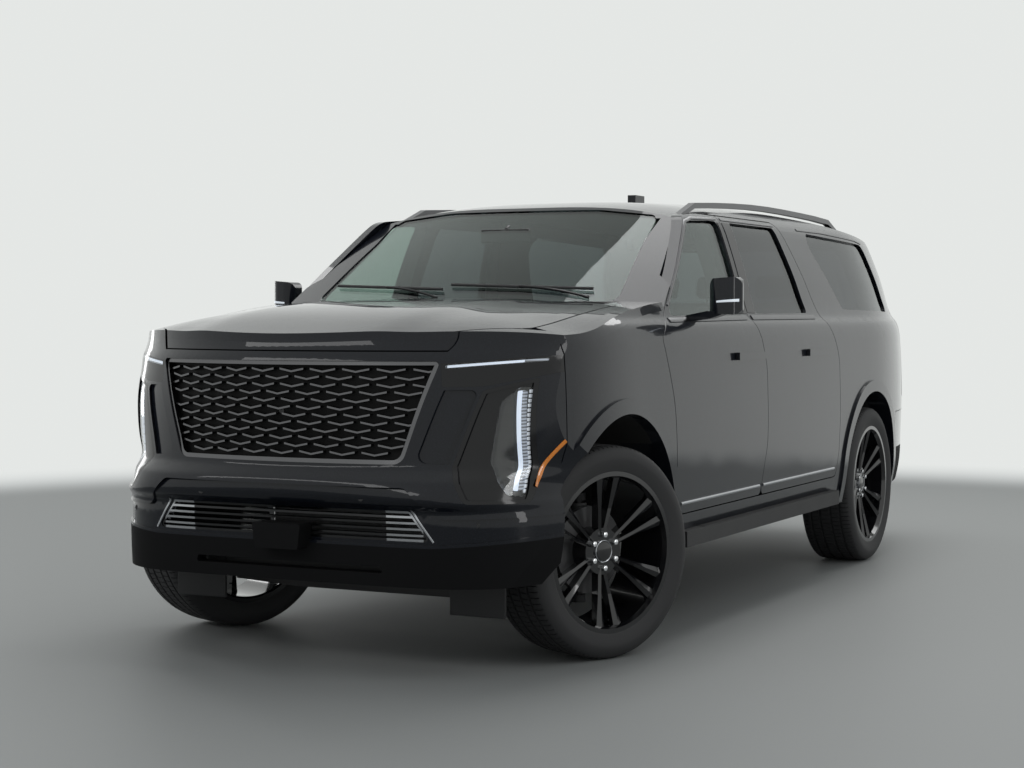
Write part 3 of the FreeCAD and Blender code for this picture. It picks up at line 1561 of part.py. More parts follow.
def tyre(label):
    """Tyre about the X axis: a profile bound to the sheet, symmetric in its sketch and revolved."""
    body = doc.addObject("PartDesign::Body", label)
    sketch = body.newObject("Sketcher::SketchObject", label + "_profile")
    plane = [item for item in body.Origin.OriginFeatures if item.Role == "XZ_Plane"][0]
    sketch.AttachmentSupport = [(plane, "")]
    sketch.MapMode = "FlatFace"
    values = profile_values()
    ring = [Vector(x, r, 0) for x, r in values] + [Vector(-x, r, 0) for x, r in reversed(values)]
    count = len(ring)
    for n in range(count):
        sketch.addGeometry(Part.LineSegment(ring[n], ring[(n + 1) % count]), False)
    for n in range(count):
        sketch.addConstraint(Sketcher.Constraint("Coincident", n, 2, (n + 1) % count, 1))
    for n, rules in enumerate(TYRE_PROFILE):
        for kind, value, rule in zip(("DistanceX", "DistanceY"), values[n], rules):
            index = sketch.addConstraint(Sketcher.Constraint(kind, -1, 1, n, 1, value))
            sketch.setExpression("Constraints[%d]" % index, "sizes." + rule)
        sketch.addConstraint(Sketcher.Constraint("Symmetric", n, 1, count - 1 - n, 1, -2))
    turn = body.newObject("PartDesign::Revolution", label + "_turn")
    turn.Profile = (sketch, [""])
    turn.ReferenceAxis = (sketch, ["H_Axis"])
    turn.Angle = 360
    return body


def wheel_placement(side, front):
    """Placement of a wheel that is made about the X axis."""
    if not front:
        return FreeCAD.Placement(Vector(side * size("wheel_plane_x"), size("rear_axle_y"), axle_z), FreeCAD.Rotation())
    turned = FreeCAD.Rotation(Vector(0, 0, 1), size("steer_angle"))
    kingpin_place = FreeCAD.Placement(Vector(side * size("kingpin_x"), size("front_axle_y"), axle_z), turned)
    arm = side * (size("wheel_plane_x") - size("kingpin_x"))
    return kingpin_place.multiply(FreeCAD.Placement(Vector(arm, 0, 0), FreeCAD.Rotation()))


def at_wheel(shape, side, front):
    """A wheel part moved to its corner of the vehicle; side is 1 on the left and -1 on the right."""
    placed = shape if side > 0 else mirrored(shape)
    if front:
        arm = size("wheel_plane_x") - size("kingpin_x")
        placed = placed.translated(Vector(side * arm, 0, axle_z))
        placed = placed.rotated(Vector(0, 0, 0), Vector(0, 0, 1), size("steer_angle"))
        return placed.translated(Vector(side * size("kingpin_x"), size("front_axle_y"), 0))
    return placed.translated(Vector(side * size("wheel_plane_x"), size("rear_axle_y"), axle_z))


rim_shape = rim()
knuckle_shape = knuckle()
for name, side in (("left", 1), ("right", -1)):
    for end, front in (("front", True), ("rear", False)):
        label = "%s_%s_tyre" % (name, end)
        wheel_tyre = keep(tyre(label), label)
        wheel_tyre.Placement = wheel_placement(side, front)
        node("%s_%s_rim" % (name, end), at_wheel(rim_shape, side, front))
    turned = knuckle_shape if side > 0 else mirrored(knuckle_shape)
    turned = turned.rotated(Vector(0, 0, 0), Vector(0, 0, 1), size("steer_angle"))
    node(name + "_knuckle", turned.translated(Vector(side * size("kingpin_x"), size("front_axle_y"), 0)))

axle_y = size("rear_axle_y")
hub_in = size("wheel_plane_x") - 70
tube = rod(42, (-hub_in, axle_y, axle_z), (hub_in, axle_y, axle_z))
ends = []
for side in (-1, 1):
    ends.append(rod(60, (side * (hub_in + 10), axle_y, axle_z), (side * (hub_in + HUB_OUT), axle_y, axle_z)))
    ends.append(rod(size("spindle_radius"), (side * hub_in, axle_y, axle_z), (side * (hub_in + SPINDLE_END), axle_y, axle_z)))
differential = rod(130, (-75, axle_y, axle_z), (75, axle_y, axle_z))
differential = joined([differential, rod(62, (0, axle_y - 230, axle_z), (0, axle_y, axle_z))])
perches = [box(s * size("rail_x") - 35, s * size("rail_x") + 35, axle_y - 45, axle_y + 45, axle_z, high_top - depth) for s in (-1, 1)]
node("rear_axle", joined([tube, differential] + ends + perches))

pipe = bound(
    "Part::Cylinder",
    "exhaust_pipe",
    x="sizes.pipe_x",
    y="sizes.pipe_front_y",
    z="sizes.pipe_height",
    Radius="sizes.pipe_radius",
    Height="sizes.pipe_length",
)
pipe.Placement.Rotation = FreeCAD.Rotation(Vector(1, 0, 0), -90)
hangers = []
for number, y in enumerate((-1200, -300, 600)):
    hangers.append(
        bound(
            "Part::Box",
            "hanger_%d" % number,
            x="sizes.pipe_x - sizes.hanger_width / 2",
            y="%d - sizes.hanger_width / 2" % y,
            z="sizes.pipe_height + 20",
            Length="sizes.hanger_width",
            Width="sizes.hanger_width",
            Height="sizes.floor_height - 105 - sizes.pipe_height - 20",
        )
    )
keep(fused("exhaust_line", [pipe] + hangers), "exhaust")

# Cabin

DASH = (
    (-1414, 900, 0),
    (-1414, 970, 0),
    (-1560, 1122, 30),
    (-1560, 1285, 40),
    (-1190, 1285, 60),
    (-1190, 1010, 60),
    (-1290, 900, 60),
)
dash = prism(rounded(DASH, lambda y, z: Vector(-735, y, z)), (1470, 0, 0))
floor_top = size("floor_height") + size("floor_wall")
console = box(-140, 140, -1300, -300, floor_top, 830)
console_head = box(-140, 140, -1413, -1150, floor_top, 960)
dashboard = less(joined([dash, console, console_head]), bulkhead)
node("dashboard", greatest(dashboard))
wheel_centre = Vector(380, -1040, 1160)
ring = Part.makeTorus(182, 15, Vector(0, 0, 0), Vector(0, 0, 1), 0, 360)
column = rod(26, (0, 0, 6), (0, 0, -170))
cross = box(-175, 175, -20, 20, -12, 10)
steering = joined([ring, column, cross]).rotated(Vector(0, 0, 0), Vector(1, 0, 0), -65)
node("steering_wheel", steering.translated(wheel_centre).cut(dashboard))


def seat(name, x, y, z, width):
    """Seat facing the front; x, y, z and width are rules for its middle, its floor and its width."""
    base = bound(
        "Part::Box",
        name + "_base",
        x="%s - %s / 2 + 40" % (x, width),
        y="%s - 200" % y,
        z=z,
        Length="%s - 80" % width,
        Width="420",
        Height="sizes.seat_base + 5",
    )
    cushion = bound(
        "Part::Box",
        name + "_cushion",
        x="%s - %s / 2" % (x, width),
        y="%s - 270" % y,
        z="%s + sizes.seat_base" % z,
        Length=width,
        Width="sizes.cushion_length",
        Height="sizes.cushion_tall",
    )
    back = bound(
        "Part::Box",
        name + "_back",
        x="%s - %s / 2" % (x, width),
        y="%s + 200" % y,
        z="%s + sizes.seat_base + sizes.cushion_tall - 30" % z,
        Length=width,
        Width="sizes.back_wall",
        Height="sizes.back_tall",
    )
    back.setExpression(".Placement.Rotation.Angle", "sizes.back_lean")
    back.Placement.Rotation = FreeCAD.Rotation(Vector(1, 0, 0), size("back_lean"))
    return fused(name, [base, cushion, back])


FLOOR_RULE = "sizes.floor_height + sizes.floor_wall"
LOAD_RULE = "sizes.load_floor_height + sizes.floor_wall"
for label, y in (("front_seats", "-650"), ("second_row_seats", "300")):
    seats = []
    for side, x in (("left", "sizes.seat_x"), ("right", "-sizes.seat_x")):
        seats.append(seat("%s_%s" % (side, label), x, y, FLOOR_RULE, "sizes.seat_width"))
    keep(grouped(label + "_pair", seats), label)
keep(seat("bench", "0", "1330", LOAD_RULE, "sizes.bench_width"), "third_row_bench")

# Roof rails and running boards

RAIL_LIFT = 40


def roof_rail():
    """Roof rail on the left, standing on the edge of the roof."""
    x = 712
    stations = spread(-480, 1560, 9)
    top = [Vector(x, y, roof_top(x, y) + RAIL_LIFT) for y in stations]
    under = [Vector(x, y, roof_top(x, y) + 14) for y in reversed(stations)]
    front_foot = Vector(x, -670, roof_top(x, -670) - 3)
    rear_foot = Vector(x, 1720, roof_top(x, 1720) - 3)
    front_heel = Vector(x, -560, roof_top(x, -560) - 3)
    rear_heel = Vector(x, 1640, roof_top(x, 1640) - 3)
    points = [front_foot] + top + [rear_foot, rear_heel] + under + [front_heel]
    return prism(Part.makePolygon(points + points[:1]), (32, 0, 0)).translated(Vector(-16, 0, 0))


rail_bar = less(roof_rail(), body_side)
node("roof_rails", Part.makeCompound(both(largest(rail_bar))))
board = box(960, 1045, -1370, 760, 373, 440)
board = largest(less(board, body_side))
node("running_boards", Part.makeCompound(both(board)))

# Every sub-part is checked and written

doc.recompute()
for item in doc.Objects:
    if "Invalid" in item.State or "Error" in item.State:
        raise RuntimeError("%s did not build" % item.Label)
os.makedirs("parts", exist_ok=True)
for item in NODES:
    if item.Shape.isNull() or not item.Shape.isValid() or not item.Shape.Solids:
        raise RuntimeError("%s has no valid solid" % item.Label)
    item.Shape.exportStep("parts/%s.step" % item.Label)
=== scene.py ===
"""Dressing of a large black SUV: finishes, tyres, lamps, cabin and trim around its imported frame."""

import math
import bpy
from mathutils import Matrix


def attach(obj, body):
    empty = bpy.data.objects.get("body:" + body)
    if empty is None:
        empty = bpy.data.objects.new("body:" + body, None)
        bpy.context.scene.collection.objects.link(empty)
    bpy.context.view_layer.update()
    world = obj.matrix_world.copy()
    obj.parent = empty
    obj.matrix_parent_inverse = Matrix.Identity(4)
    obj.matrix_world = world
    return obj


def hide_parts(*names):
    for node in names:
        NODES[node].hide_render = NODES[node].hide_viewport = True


bl_info = {
    "name": "Black SUV Dressing",
    "version": (1, 0, 0),
    "blender": (4, 5, 0),
    "location": "View3D > Sidebar > SUV",
    "description": "Finishes, tyres, lamps, cabin and trim of a large SUV",
    "category": "Object",
}

import bmesh
import bpy
from mathutils import Matrix, Vector
from mathutils.bvhtree import BVHTree

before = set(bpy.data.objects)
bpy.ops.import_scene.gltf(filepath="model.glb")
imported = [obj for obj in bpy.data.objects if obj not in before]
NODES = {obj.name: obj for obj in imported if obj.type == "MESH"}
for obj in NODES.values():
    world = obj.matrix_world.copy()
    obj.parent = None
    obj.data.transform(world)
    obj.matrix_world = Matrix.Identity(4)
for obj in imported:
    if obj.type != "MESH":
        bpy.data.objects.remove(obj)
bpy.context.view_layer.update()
SIDES = (("left", 1), ("right", -1))


# Sizes and colours a user would change


class PaintSettings(bpy.types.PropertyGroup):
    """Colour and gloss of the body."""

    colour: bpy.props.FloatVectorProperty(
        name="Paint", description="Base colour of the paint", subtype="COLOR", size=3,
        default=(0.0065, 0.0078, 0.0115),
    )
    roughness: bpy.props.FloatProperty(
        name="Roughness", description="Roughness of the base coat", subtype="FACTOR", default=0.32
    )


class GlassSettings(bpy.types.PropertyGroup):
    """How much light the windows let through."""

    screen: bpy.props.FloatProperty(
        name="Windscreen", description="Share of light through the front glass", subtype="FACTOR", default=0.5
    )
    privacy: bpy.props.FloatProperty(
        name="Rear glass", description="Share of light through the rear glass", subtype="FACTOR", default=0.1
    )


class TyreSettings(bpy.types.PropertyGroup):
    """Tread of the tyres."""

    pitches: bpy.props.IntProperty(name="Tread blocks", description="Blocks round one tyre", default=104)
    groove: bpy.props.FloatProperty(
        name="Groove depth", description="Depth of the tread grooves", subtype="DISTANCE", unit="LENGTH",
        default=0.007,
    )


class StageSettings(bpy.types.PropertyGroup):
    """Camera and light."""

    lens: bpy.props.FloatProperty(name="Lens", description="Focal length in millimetres", default=68.67)
    backdrop: bpy.props.FloatVectorProperty(
        name="Backdrop", description="Colour behind the vehicle", subtype="COLOR", size=3,
        default=(0.78, 0.8, 0.785),
    )


# Shader expressions


def maths(operation, swapped=False):
    """A method that adds a Math node of its expression and another value."""

    def method(self, other=None):
        node = self.tree.nodes.new("ShaderNodeMath")
        node.operation = operation
        for slot, value in zip(node.inputs, (other, self) if swapped else (self, other)):
            if value is not None:
                feed(self.tree, slot, value)
        return Term(self.tree, node.outputs[0])

    return method


class Term:
    """A node output that adds Math nodes when it is used in an expression."""

    def __init__(self, tree, socket):
        self.tree = tree
        self.socket = socket

    __add__ = maths("ADD")
    __sub__ = maths("SUBTRACT")
    __rsub__ = maths("SUBTRACT", swapped=True)
    __mul__ = maths("MULTIPLY")
    __gt__ = maths("GREATER_THAN")
    __lt__ = maths("LESS_THAN")
    __pow__ = maths("POWER")
    above = maths("MAXIMUM")
    sine = maths("SINE")
    size = maths("ABSOLUTE")


def feed(tree, slot, value):
    """Links an expression to an input, or sets the input's own value."""
    if isinstance(value, Term):
        tree.links.new(value.socket, slot)
    elif slot.type == "RGBA":
        slot.default_value = (*value, 1.0)
    else:
        slot.default_value = value


def shader_node(tree, kind, settings=None, **inputs):
    """Adds a node and returns its outputs by name."""
    node = tree.nodes.new(kind)
    for key, value in (settings or {}).items():
        setattr(node, key, value)
    for key, value in inputs.items():
        feed(tree, node.inputs[key.replace("_", " ")], value)
    return {out.name: Term(tree, out) for out in node.outputs}


def mixed_shader(tree, factor, first, second, end):
    """Feeds an end with two shaders, mixed by an expression."""
    mixer = tree.nodes.new("ShaderNodeMixShader")
    for slot, source in zip(mixer.inputs, (factor, first, second)):
        tree.links.new(source.socket, slot)
    tree.links.new(mixer.outputs[0], end)


class Finish:
    """A procedural material built from expressions."""

    def __init__(self, name, colour, roughness, **constants):
        self.material = bpy.data.materials.new(name)
        self.material.use_nodes = True
        self.tree = self.material.node_tree
        self.shader = self.tree.nodes["Principled BSDF"]
        self.surface = Term(self.tree, self.shader.outputs[0])
        self.end = self.tree.nodes["Material Output"].inputs["Surface"]
        self.set("Base Color", colour)
        self.set("Roughness", roughness)
        for key, value in constants.items():
            self.set(key.replace("_", " "), value)
        self.where = self.node("ShaderNodeTexCoord")["Object"]

    def node(self, kind, settings=None, **inputs):
        """A node of this finish."""
        return shader_node(self.tree, kind, settings, **inputs)

    def set(self, name, value):
        """Links or sets an input of the shader."""
        feed(self.tree, self.shader.inputs[name], value)

    def noise(self, scale, detail=2.0):
        """Cloudy pattern between 0 and 1."""
        return self.node("ShaderNodeTexNoise", Vector=self.where, Scale=scale, Detail=detail)["Fac"]

    def cells(self, scale, output):
        """Pattern of small cells."""
        return self.node("ShaderNodeTexVoronoi", Vector=self.where, Scale=scale)[output]

    def bump(self, height, strength, distance):
        """Raises the surface by an expression."""
        bumps = self.node("ShaderNodeBump", Height=height, Strength=strength, Distance=distance)
        self.set("Normal", bumps["Normal"])

    def axis(self, name):
        """One coordinate of the place on the vehicle, in metres."""
        return self.node("ShaderNodeSeparateXYZ", Vector=self.where)[name]


def mixed_colour(finish, factor, first, second):
    """Colour output of a Mix node of the finish."""
    node = finish.tree.nodes.new("ShaderNodeMix")
    node.data_type = "RGBA"
    for slot, value in ((0, factor), (6, first), (7, second)):
        feed(finish.tree, node.inputs[slot], value)
    return Term(finish.tree, node.outputs[2])


# Finishes

BARE_BELOW = {"front_paint": 0.497, "rear_paint": 0.56}
BARE_SLOPE_FROM, BARE_SLOPE = 0.61, 0.07
SENSOR_HALF_WIDTH, SENSOR_TOP = 0.109, 0.574
DUST_BELOW = 0.55


def paint_finish(kind="paint"):
    """Deep black paint with a fine flake under lacquer, bare and grained low on a bumper."""
    paint = bpy.context.scene.suv_paint
    finish = Finish(
        "gloss_" + kind, paint.colour, paint.roughness,
        Specular_IOR_Level=0.05, Coat_Weight=1.0, Coat_Roughness=0.02, Coat_IOR=1.34,
    )
    sparkle = finish.node("ShaderNodeSeparateColor", Color=finish.cells(900.0, "Color"))["Red"]
    colour = mixed_colour(finish, (sparkle > 0.93) * 0.6, paint.colour, (0.03, 0.034, 0.045))
    out, high = finish.axis("X").size(), finish.axis("Z")
    dust = finish.noise(9.0, 4.0) * ((high < DUST_BELOW) * 0.05)
    if kind == "paint":
        finish.set("Base Color", colour)
        finish.set("Roughness", dust + paint.roughness)
        finish.bump(finish.noise(160.0, 1.0), 0.012, 0.002)
        return finish.material
    slope = (out - BARE_SLOPE_FROM).above(0.0) * BARE_SLOPE
    bare = (high - slope) < BARE_BELOW[kind]
    if kind == "front_paint":
        bare = bare.above((out < SENSOR_HALF_WIDTH) * (high < SENSOR_TOP))
    finish.set("Base Color", mixed_colour(finish, bare, colour, (0.009, 0.009, 0.0095)))
    finish.set("Roughness", bare * 0.3 + (dust + paint.roughness))
    finish.set("Coat Weight", 1 - bare)
    finish.bump(finish.noise(900.0) * bare, 0.3, 0.0005)
    return finish.material


def plain_finish(name, colour, roughness, grain, depth, spread, constants={}):
    """Moulded or coated surface with fine grain and slight variation."""
    finish = Finish(name, colour, roughness, **constants)
    cloud = finish.noise(6.0, 3.0)
    lighter = [min(1.0, c * 1.25 + 0.002) for c in colour]
    finish.set("Base Color", mixed_colour(finish, cloud, colour, lighter))
    finish.set("Roughness", cloud * spread + (roughness - spread / 2))
    finish.bump(finish.noise(grain), depth, 0.0005)
    return finish.material


def glass_finish(name, through, tint):
    """Flat glass: clear by its tint, mirror by its angle."""
    finish = Finish(name, (0.9, 0.92, 0.92), 0.015, Metallic=1.0)
    clear = finish.node("ShaderNodeBsdfTransparent", Color=[c * through**0.5 for c in tint])["BSDF"]
    slant = finish.node("ShaderNodeLayerWeight", Blend=0.5)["Facing"]
    haze = finish.noise(3.0, 3.0) * 0.004
    mixed_shader(finish.tree, slant**5.0 * 0.9 + (haze + 0.035), clear, finish.surface, finish.end)
    return finish.material


def lit_finish(name, colour, strength, edge=2.0):
    """Lamp element that shines a little, with dim ribs outside an edge along X."""
    finish = Finish(name, colour, 0.25)
    ribs = (finish.axis("Z") * 520.0).sine() * 0.5 + 0.5
    dim = (finish.axis("X").size() > edge) * (ribs * 0.45 + 0.5)
    finish.set("Base Color", mixed_colour(finish, dim, colour, (0.03, 0.03, 0.032)))
    finish.set("Emission Color", mixed_colour(finish, dim, colour, (0.02, 0.021, 0.023)))
    finish.set("Emission Strength", strength)
    return finish.material


LOW_GRILLE_TOP = 0.66
LOW_GRILLE_ENDS = (0.427, 0.575)
PLATE_BEHIND = 0.027


def grille_finish():
    """Dark chrome chevrons before a black back plate, and brighter ends on the low bars."""
    finish = Finish("grille_metal", (0.1, 0.1, 0.105), 0.24, Specular_IOR_Level=0.15)
    out, high = finish.axis("X"), finish.axis("Z")
    # The nose's own bowed face, so that what lies well behind it is the back plate
    rise = high - 0.8
    face = rise * rise * 0.1 - rise * 0.13 + (out * out * (rise * 0.48 + 0.233) - 2.856)
    behind = (finish.axis("Y") - face) > PLATE_BEHIND
    low = high < LOW_GRILLE_TOP
    inner, outer = LOW_GRILLE_ENDS
    ends = low * (out.size() > inner) * (out.size() < outer)
    front = 1 - behind * (1 - low)
    black = mixed_colour(finish, front, (0.003, 0.003, 0.003), (0.13, 0.13, 0.135))
    bars = mixed_colour(finish, ends, black, (0.4, 0.41, 0.43))
    finish.set("Base Color", mixed_colour(finish, low * (1 - ends), bars, (0.05, 0.05, 0.052)))
    finish.set("Metallic", front)
    finish.set("Roughness", 0.6 - front * 0.38)
    finish.bump(finish.noise(400.0), 0.05, 0.0005)
    return finish.material


CLEAR_FOOT_TOP = 1.02


def tail_finish():
    """Red lens with upright inner ribs and a clear foot."""
    finish = Finish("tail_lens", (0.22, 0.003, 0.005), 0.12, Coat_Weight=1.0)
    ribs = (finish.axis("X") * 700.0).sine() * 0.5 + 0.5
    red = mixed_colour(finish, ribs, (0.07, 0.002, 0.003), (0.3, 0.005, 0.008))
    foot = finish.axis("Z") < CLEAR_FOOT_TOP
    finish.set("Base Color", mixed_colour(finish, foot, red, (0.2, 0.2, 0.21)))
    finish.set("Roughness", ribs * 0.1 + 0.08)
    finish.bump(ribs, 0.15, 0.001)
    return finish.material


def seat_finish():
    """Dark leather with a fine grain."""
    colour = (0.02, 0.019, 0.019)
    finish = Finish("seat_leather_dark", colour, 0.46)
    cells = finish.cells(420.0, "Distance")
    cloud = finish.noise(7.0, 3.0)
    finish.set("Base Color", mixed_colour(finish, cloud, colour, [c * 1.5 for c in colour]))
    finish.set("Roughness", cloud * 0.12 + 0.4)
    finish.bump(cells, 0.25, 0.0008)
    return finish.material


METAL = {"Metallic": 1.0}
LACQUER = {"Coat_Weight": 1.0}

# Moulded and coated surfaces: name, colour, roughness, the grain's scale and depth, the roughness's spread
PLAIN = {
    "amber": ("amber_lens", (0.75, 0.22, 0.01), 0.14, 300.0, 0.05, 0.04, LACQUER),
    "carpet": ("carpet", (0.012, 0.012, 0.012), 0.95, 800.0, 0.9, 0.05),
    "lining": ("roof_lining", (0.05, 0.048, 0.046), 0.9, 300.0, 0.08, 0.05),
    "silver": ("satin_strip", (0.38, 0.39, 0.41), 0.26, 500.0, 0.04, 0.05, METAL),
    "shade": ("dark_chrome", (0.1, 0.1, 0.105), 0.2, 500.0, 0.04, 0.04, METAL),
    "mirror_glass": ("mirror_glass", (0.8, 0.82, 0.84), 0.02, 30.0, 0.0, 0.01, METAL),
    "screen": ("display", (0.004, 0.004, 0.005), 0.06, 300.0, 0.01, 0.02, LACQUER),
    "plate": ("blank_plate", (0.45, 0.46, 0.47), 0.4, 400.0, 0.06, 0.05),
    "gloss": ("gloss_trim", (0.005, 0.005, 0.006), 0.1, 160.0, 0.02, 0.02, {"Specular_IOR_Level": 0.35}),
    "wheel": ("gloss_wheel", (0.006, 0.006, 0.007), 0.14, 120.0, 0.03, 0.03, {"Coat_Weight": 0.5}),
    "matte": ("grained_plastic", (0.014, 0.014, 0.015), 0.62, 900.0, 0.4, 0.1),
    "liner": ("liner_felt", (0.008, 0.008, 0.008), 0.9, 420.0, 0.6, 0.06),
    "rubber": ("tyre_rubber", (0.017, 0.017, 0.018), 0.72, 500.0, 0.3, 0.12),
    "satin": ("satin_rail", (0.12, 0.12, 0.125), 0.34, 400.0, 0.05, 0.05, METAL),
    "steel": ("frame_coating", (0.02, 0.02, 0.021), 0.55, 300.0, 0.3, 0.15, {"Metallic": 0.3}),
    "iron": ("cast_metal", (0.09, 0.09, 0.092), 0.6, 260.0, 0.5, 0.15, {"Metallic": 0.7}),
    "chrome": ("chrome", (0.75, 0.76, 0.78), 0.08, 200.0, 0.02, 0.03, METAL),
    "leather": ("trim_leather", (0.018, 0.017, 0.017), 0.5, 520.0, 0.35, 0.08),
}

MAKERS = {
    "paint": paint_finish,
    "front_paint": lambda: paint_finish("front_paint"),
    "rear_paint": lambda: paint_finish("rear_paint"),
    "tail": tail_finish,
    "grille": grille_finish,
    "pad": seat_finish,
    "white": lambda: lit_finish("light_bar", (0.72, 0.8, 0.92), 0.6, 0.8605),
    "reading": lambda: lit_finish("small_lens", (0.75, 0.8, 0.86), 0.35),
    "red": lambda: lit_finish("stop_lamp", (0.5, 0.01, 0.01), 0.05),
    "window": lambda: glass_finish("window_glass", bpy.context.scene.suv_glass.screen, (0.9, 1.0, 0.96)),
    "privacy": lambda: glass_finish("privacy_glass", bpy.context.scene.suv_glass.privacy, (0.9, 0.95, 1.0)),
    "lens": lambda: glass_finish("lamp_lens", 0.92, (1.0, 1.0, 1.0)),
}
FINISHES = {}


def finish_named(name):
    """The material of a name, made on first use."""
    if name not in FINISHES:
        FINISHES[name] = MAKERS[name]() if name in MAKERS else plain_finish(*PLAIN[name])
    return FINISHES[name]


NODE_FINISH = {
    "paint": "body_side fender roof_panel front_door rear_door liftgate bonnet mirror".split(),
    "front_paint": ["front_bumper"],
    "rear_paint": ["rear_bumper"],
    "white": ["light_bars"],
    "window": ["windscreen", "front_door_window"],
    "privacy": ["quarter_windows", "rear_window", "rear_door_window"],
    "lens": ["headlamps"],
    "tail": ["tail_lamps"],
    "grille": ["grille"],
    "gloss": ["lamp_housings"],
    "satin": ["roof_rails"],
    "wheel": ["rim"],
    "rubber": ["tyre"],
    "liner": ["wheel_housings"],
    "matte": ["running_boards", "floor_pan", "bulkhead", "dashboard", "steering_wheel"],
    "steel": ["chassis_frame", "front_suspension", "rear_axle", "exhaust", "hitch_receiver"],
    "iron": ["engine_block", "knuckle"],
    "leather": ["front_seats", "second_row_seats", "third_row_bench"],
}


def stem(name):
    """Node name without its side or end."""
    for word in ("left_", "right_"):
        name = name.removeprefix(word)
    if name.endswith(("_tyre", "_rim")):
        name = name.removeprefix("front_").removeprefix("rear_")
    return name


def clothe(obj, finish):
    """Gives an object one material."""
    obj.data.materials.clear()
    obj.data.materials.append(finish_named(finish))


class SUV_OT_finishes(bpy.types.Operator):
    """Gives each carried-over part its material"""

    bl_idname = "suv.finishes"
    bl_label = "Part finishes"

    def execute(self, context):
        by_stem = {part: finish for finish, parts in NODE_FINISH.items() for part in parts}
        for name, obj in NODES.items():
            clothe(obj, by_stem[stem(name)])
        return {"FINISHED"}


# Making pieces


def shown(name, data):
    """A new object in the scene."""
    obj = bpy.data.objects.new(name, data)
    bpy.context.scene.collection.objects.link(obj)
    return obj


def piece(name, mesh, body, finish):
    """An object from a bmesh that rides on a body."""
    data = bpy.data.meshes.new(name)
    bmesh.ops.recalc_face_normals(mesh, faces=mesh.faces)
    mesh.to_mesh(data)
    mesh.free()
    for face in data.polygons:
        face.use_smooth = True
    data.set_sharp_from_angle(angle=math.radians(32))
    obj = shown(name, data)
    clothe(obj, finish)
    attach(obj, body)
    return obj


KINGPIN = Vector((0.8, -1.93, 0.0))
KINGPIN_OFFSET = 0.07
STEER = math.radians(-22.4)
AXLE_HEIGHT = 0.419
REAR_AXLE = 1.477
HALF_TRACK = 0.87


def wheel_place(side, front):
    """Matrix from a wheel about +X, with its outer face on +X, to its corner of the vehicle."""
    flip = Matrix.Diagonal((side, 1, 1, 1))
    if not front:
        return Matrix.Translation((side * HALF_TRACK, REAR_AXLE, AXLE_HEIGHT)) @ flip
    turn = Matrix.Rotation(STEER, 4, "Z")
    corner = Matrix.Translation((side * KINGPIN.x, KINGPIN.y, 0))
    return corner @ turn @ Matrix.Translation((side * KINGPIN_OFFSET, 0, AXLE_HEIGHT)) @ flip


def wheels():
    """Name and place of each wheel."""
    for name, side in SIDES:
        for end in ("front", "rear"):
            yield "%s_%s" % (name, end), wheel_place(side, end == "front")


def moved(mesh, matrix):
    """A bmesh after it is moved by a matrix."""
    bmesh.ops.transform(mesh, matrix=matrix, verts=mesh.verts)
    return mesh


def extruded(mesh, faces):
    """Vertices that a region's extrusion adds."""
    made = bmesh.ops.extrude_face_region(mesh, geom=faces)["geom"]
    return [item for item in made if isinstance(item, bmesh.types.BMVert)]


def spun(profile, steps, closed=True):
    """A bmesh of a profile of (x, r) turned about the X axis; an open one ends on the axis."""
    mesh = bmesh.new()
    ring = [mesh.verts.new((x, 0, r)) for x, r in profile]
    edges = [mesh.edges.new((ring[n - 1], ring[n])) for n in range(0 if closed else 1, len(ring))]
    bmesh.ops.spin(
        mesh, geom=ring + edges, cent=(0, 0, 0), axis=(1, 0, 0), angle=math.tau, steps=steps, use_merge=True
    )
    if not closed:
        bmesh.ops.remove_doubles(mesh, verts=mesh.verts, dist=1e-6)
    return mesh


# Outer half of the tyre's section, as (x, r): bead, wall, shoulder and two grooves
HALF_TREAD = [
    (0.123, 0.305), (0.129, 0.312), (0.134, 0.325), (0.1385, 0.345), (0.1425, 0.362), (0.1422, 0.374),
    (0.139, 0.386), (0.1345, 0.398), (0.127, 0.4085), (0.117, 0.4155), (0.094, 0.4182), (0.086, 0.4185),
    (0.0845, 0.4115), (0.0745, 0.4115), (0.073, 0.4187), (0.036, 0.419), (0.0345, 0.412), (0.0245, 0.412),
    (0.023, 0.419),
]
MIRRORED = [(-x, r) for x, r in HALF_TREAD]
TREAD = MIRRORED[:1] + HALF_TREAD + MIRRORED[:0:-1]
STEPS_A_PITCH = 6
SHOULDER_RADIUS, SHOULDER_FROM = 0.405, 0.09
CROWN_RADIUS, CROWN_TO, RIB_TO = 0.4185, 0.07, 0.03


class SUV_OT_tyres(bpy.types.Operator):
    """Road tyres with grooves and sipes on the four wheels"""

    bl_idname = "suv.tyres"
    bl_label = "Tyres"

    def execute(self, context):
        settings = context.scene.suv_tyres
        steps = settings.pitches * STEPS_A_PITCH
        for name, place in wheels():
            mesh = spun(TREAD, steps)
            shoulder = []
            sipes = []
            for face in mesh.faces:
                centre = face.calc_center_median()
                off = abs(centre.x)
                radius = math.hypot(centre.y, centre.z)
                turn = math.atan2(centre.y, centre.z) / math.tau * steps
                step = int(round(turn - 0.5)) % STEPS_A_PITCH
                if radius > SHOULDER_RADIUS and off > SHOULDER_FROM and step == (0 if centre.x > 0 else 3):
                    shoulder.append(face)
                if radius > CROWN_RADIUS and off < CROWN_TO and step == (1 if off < RIB_TO else 4):
                    sipes.append(face)
            for faces, depth in ((shoulder, settings.groove), (sipes, settings.groove * 0.8)):
                verts = extruded(mesh, faces)
                bmesh.ops.delete(mesh, geom=faces, context="FACES_ONLY")
                for vert in verts:
                    vert.co.yz = vert.co.yz * (1 - depth / math.hypot(vert.co.y, vert.co.z))
            obj = piece(name + "_tread_tyre", moved(mesh, place), name + "_wheel", "rubber")
            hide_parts(name + "_tyre")
        return {"FINISHED"}


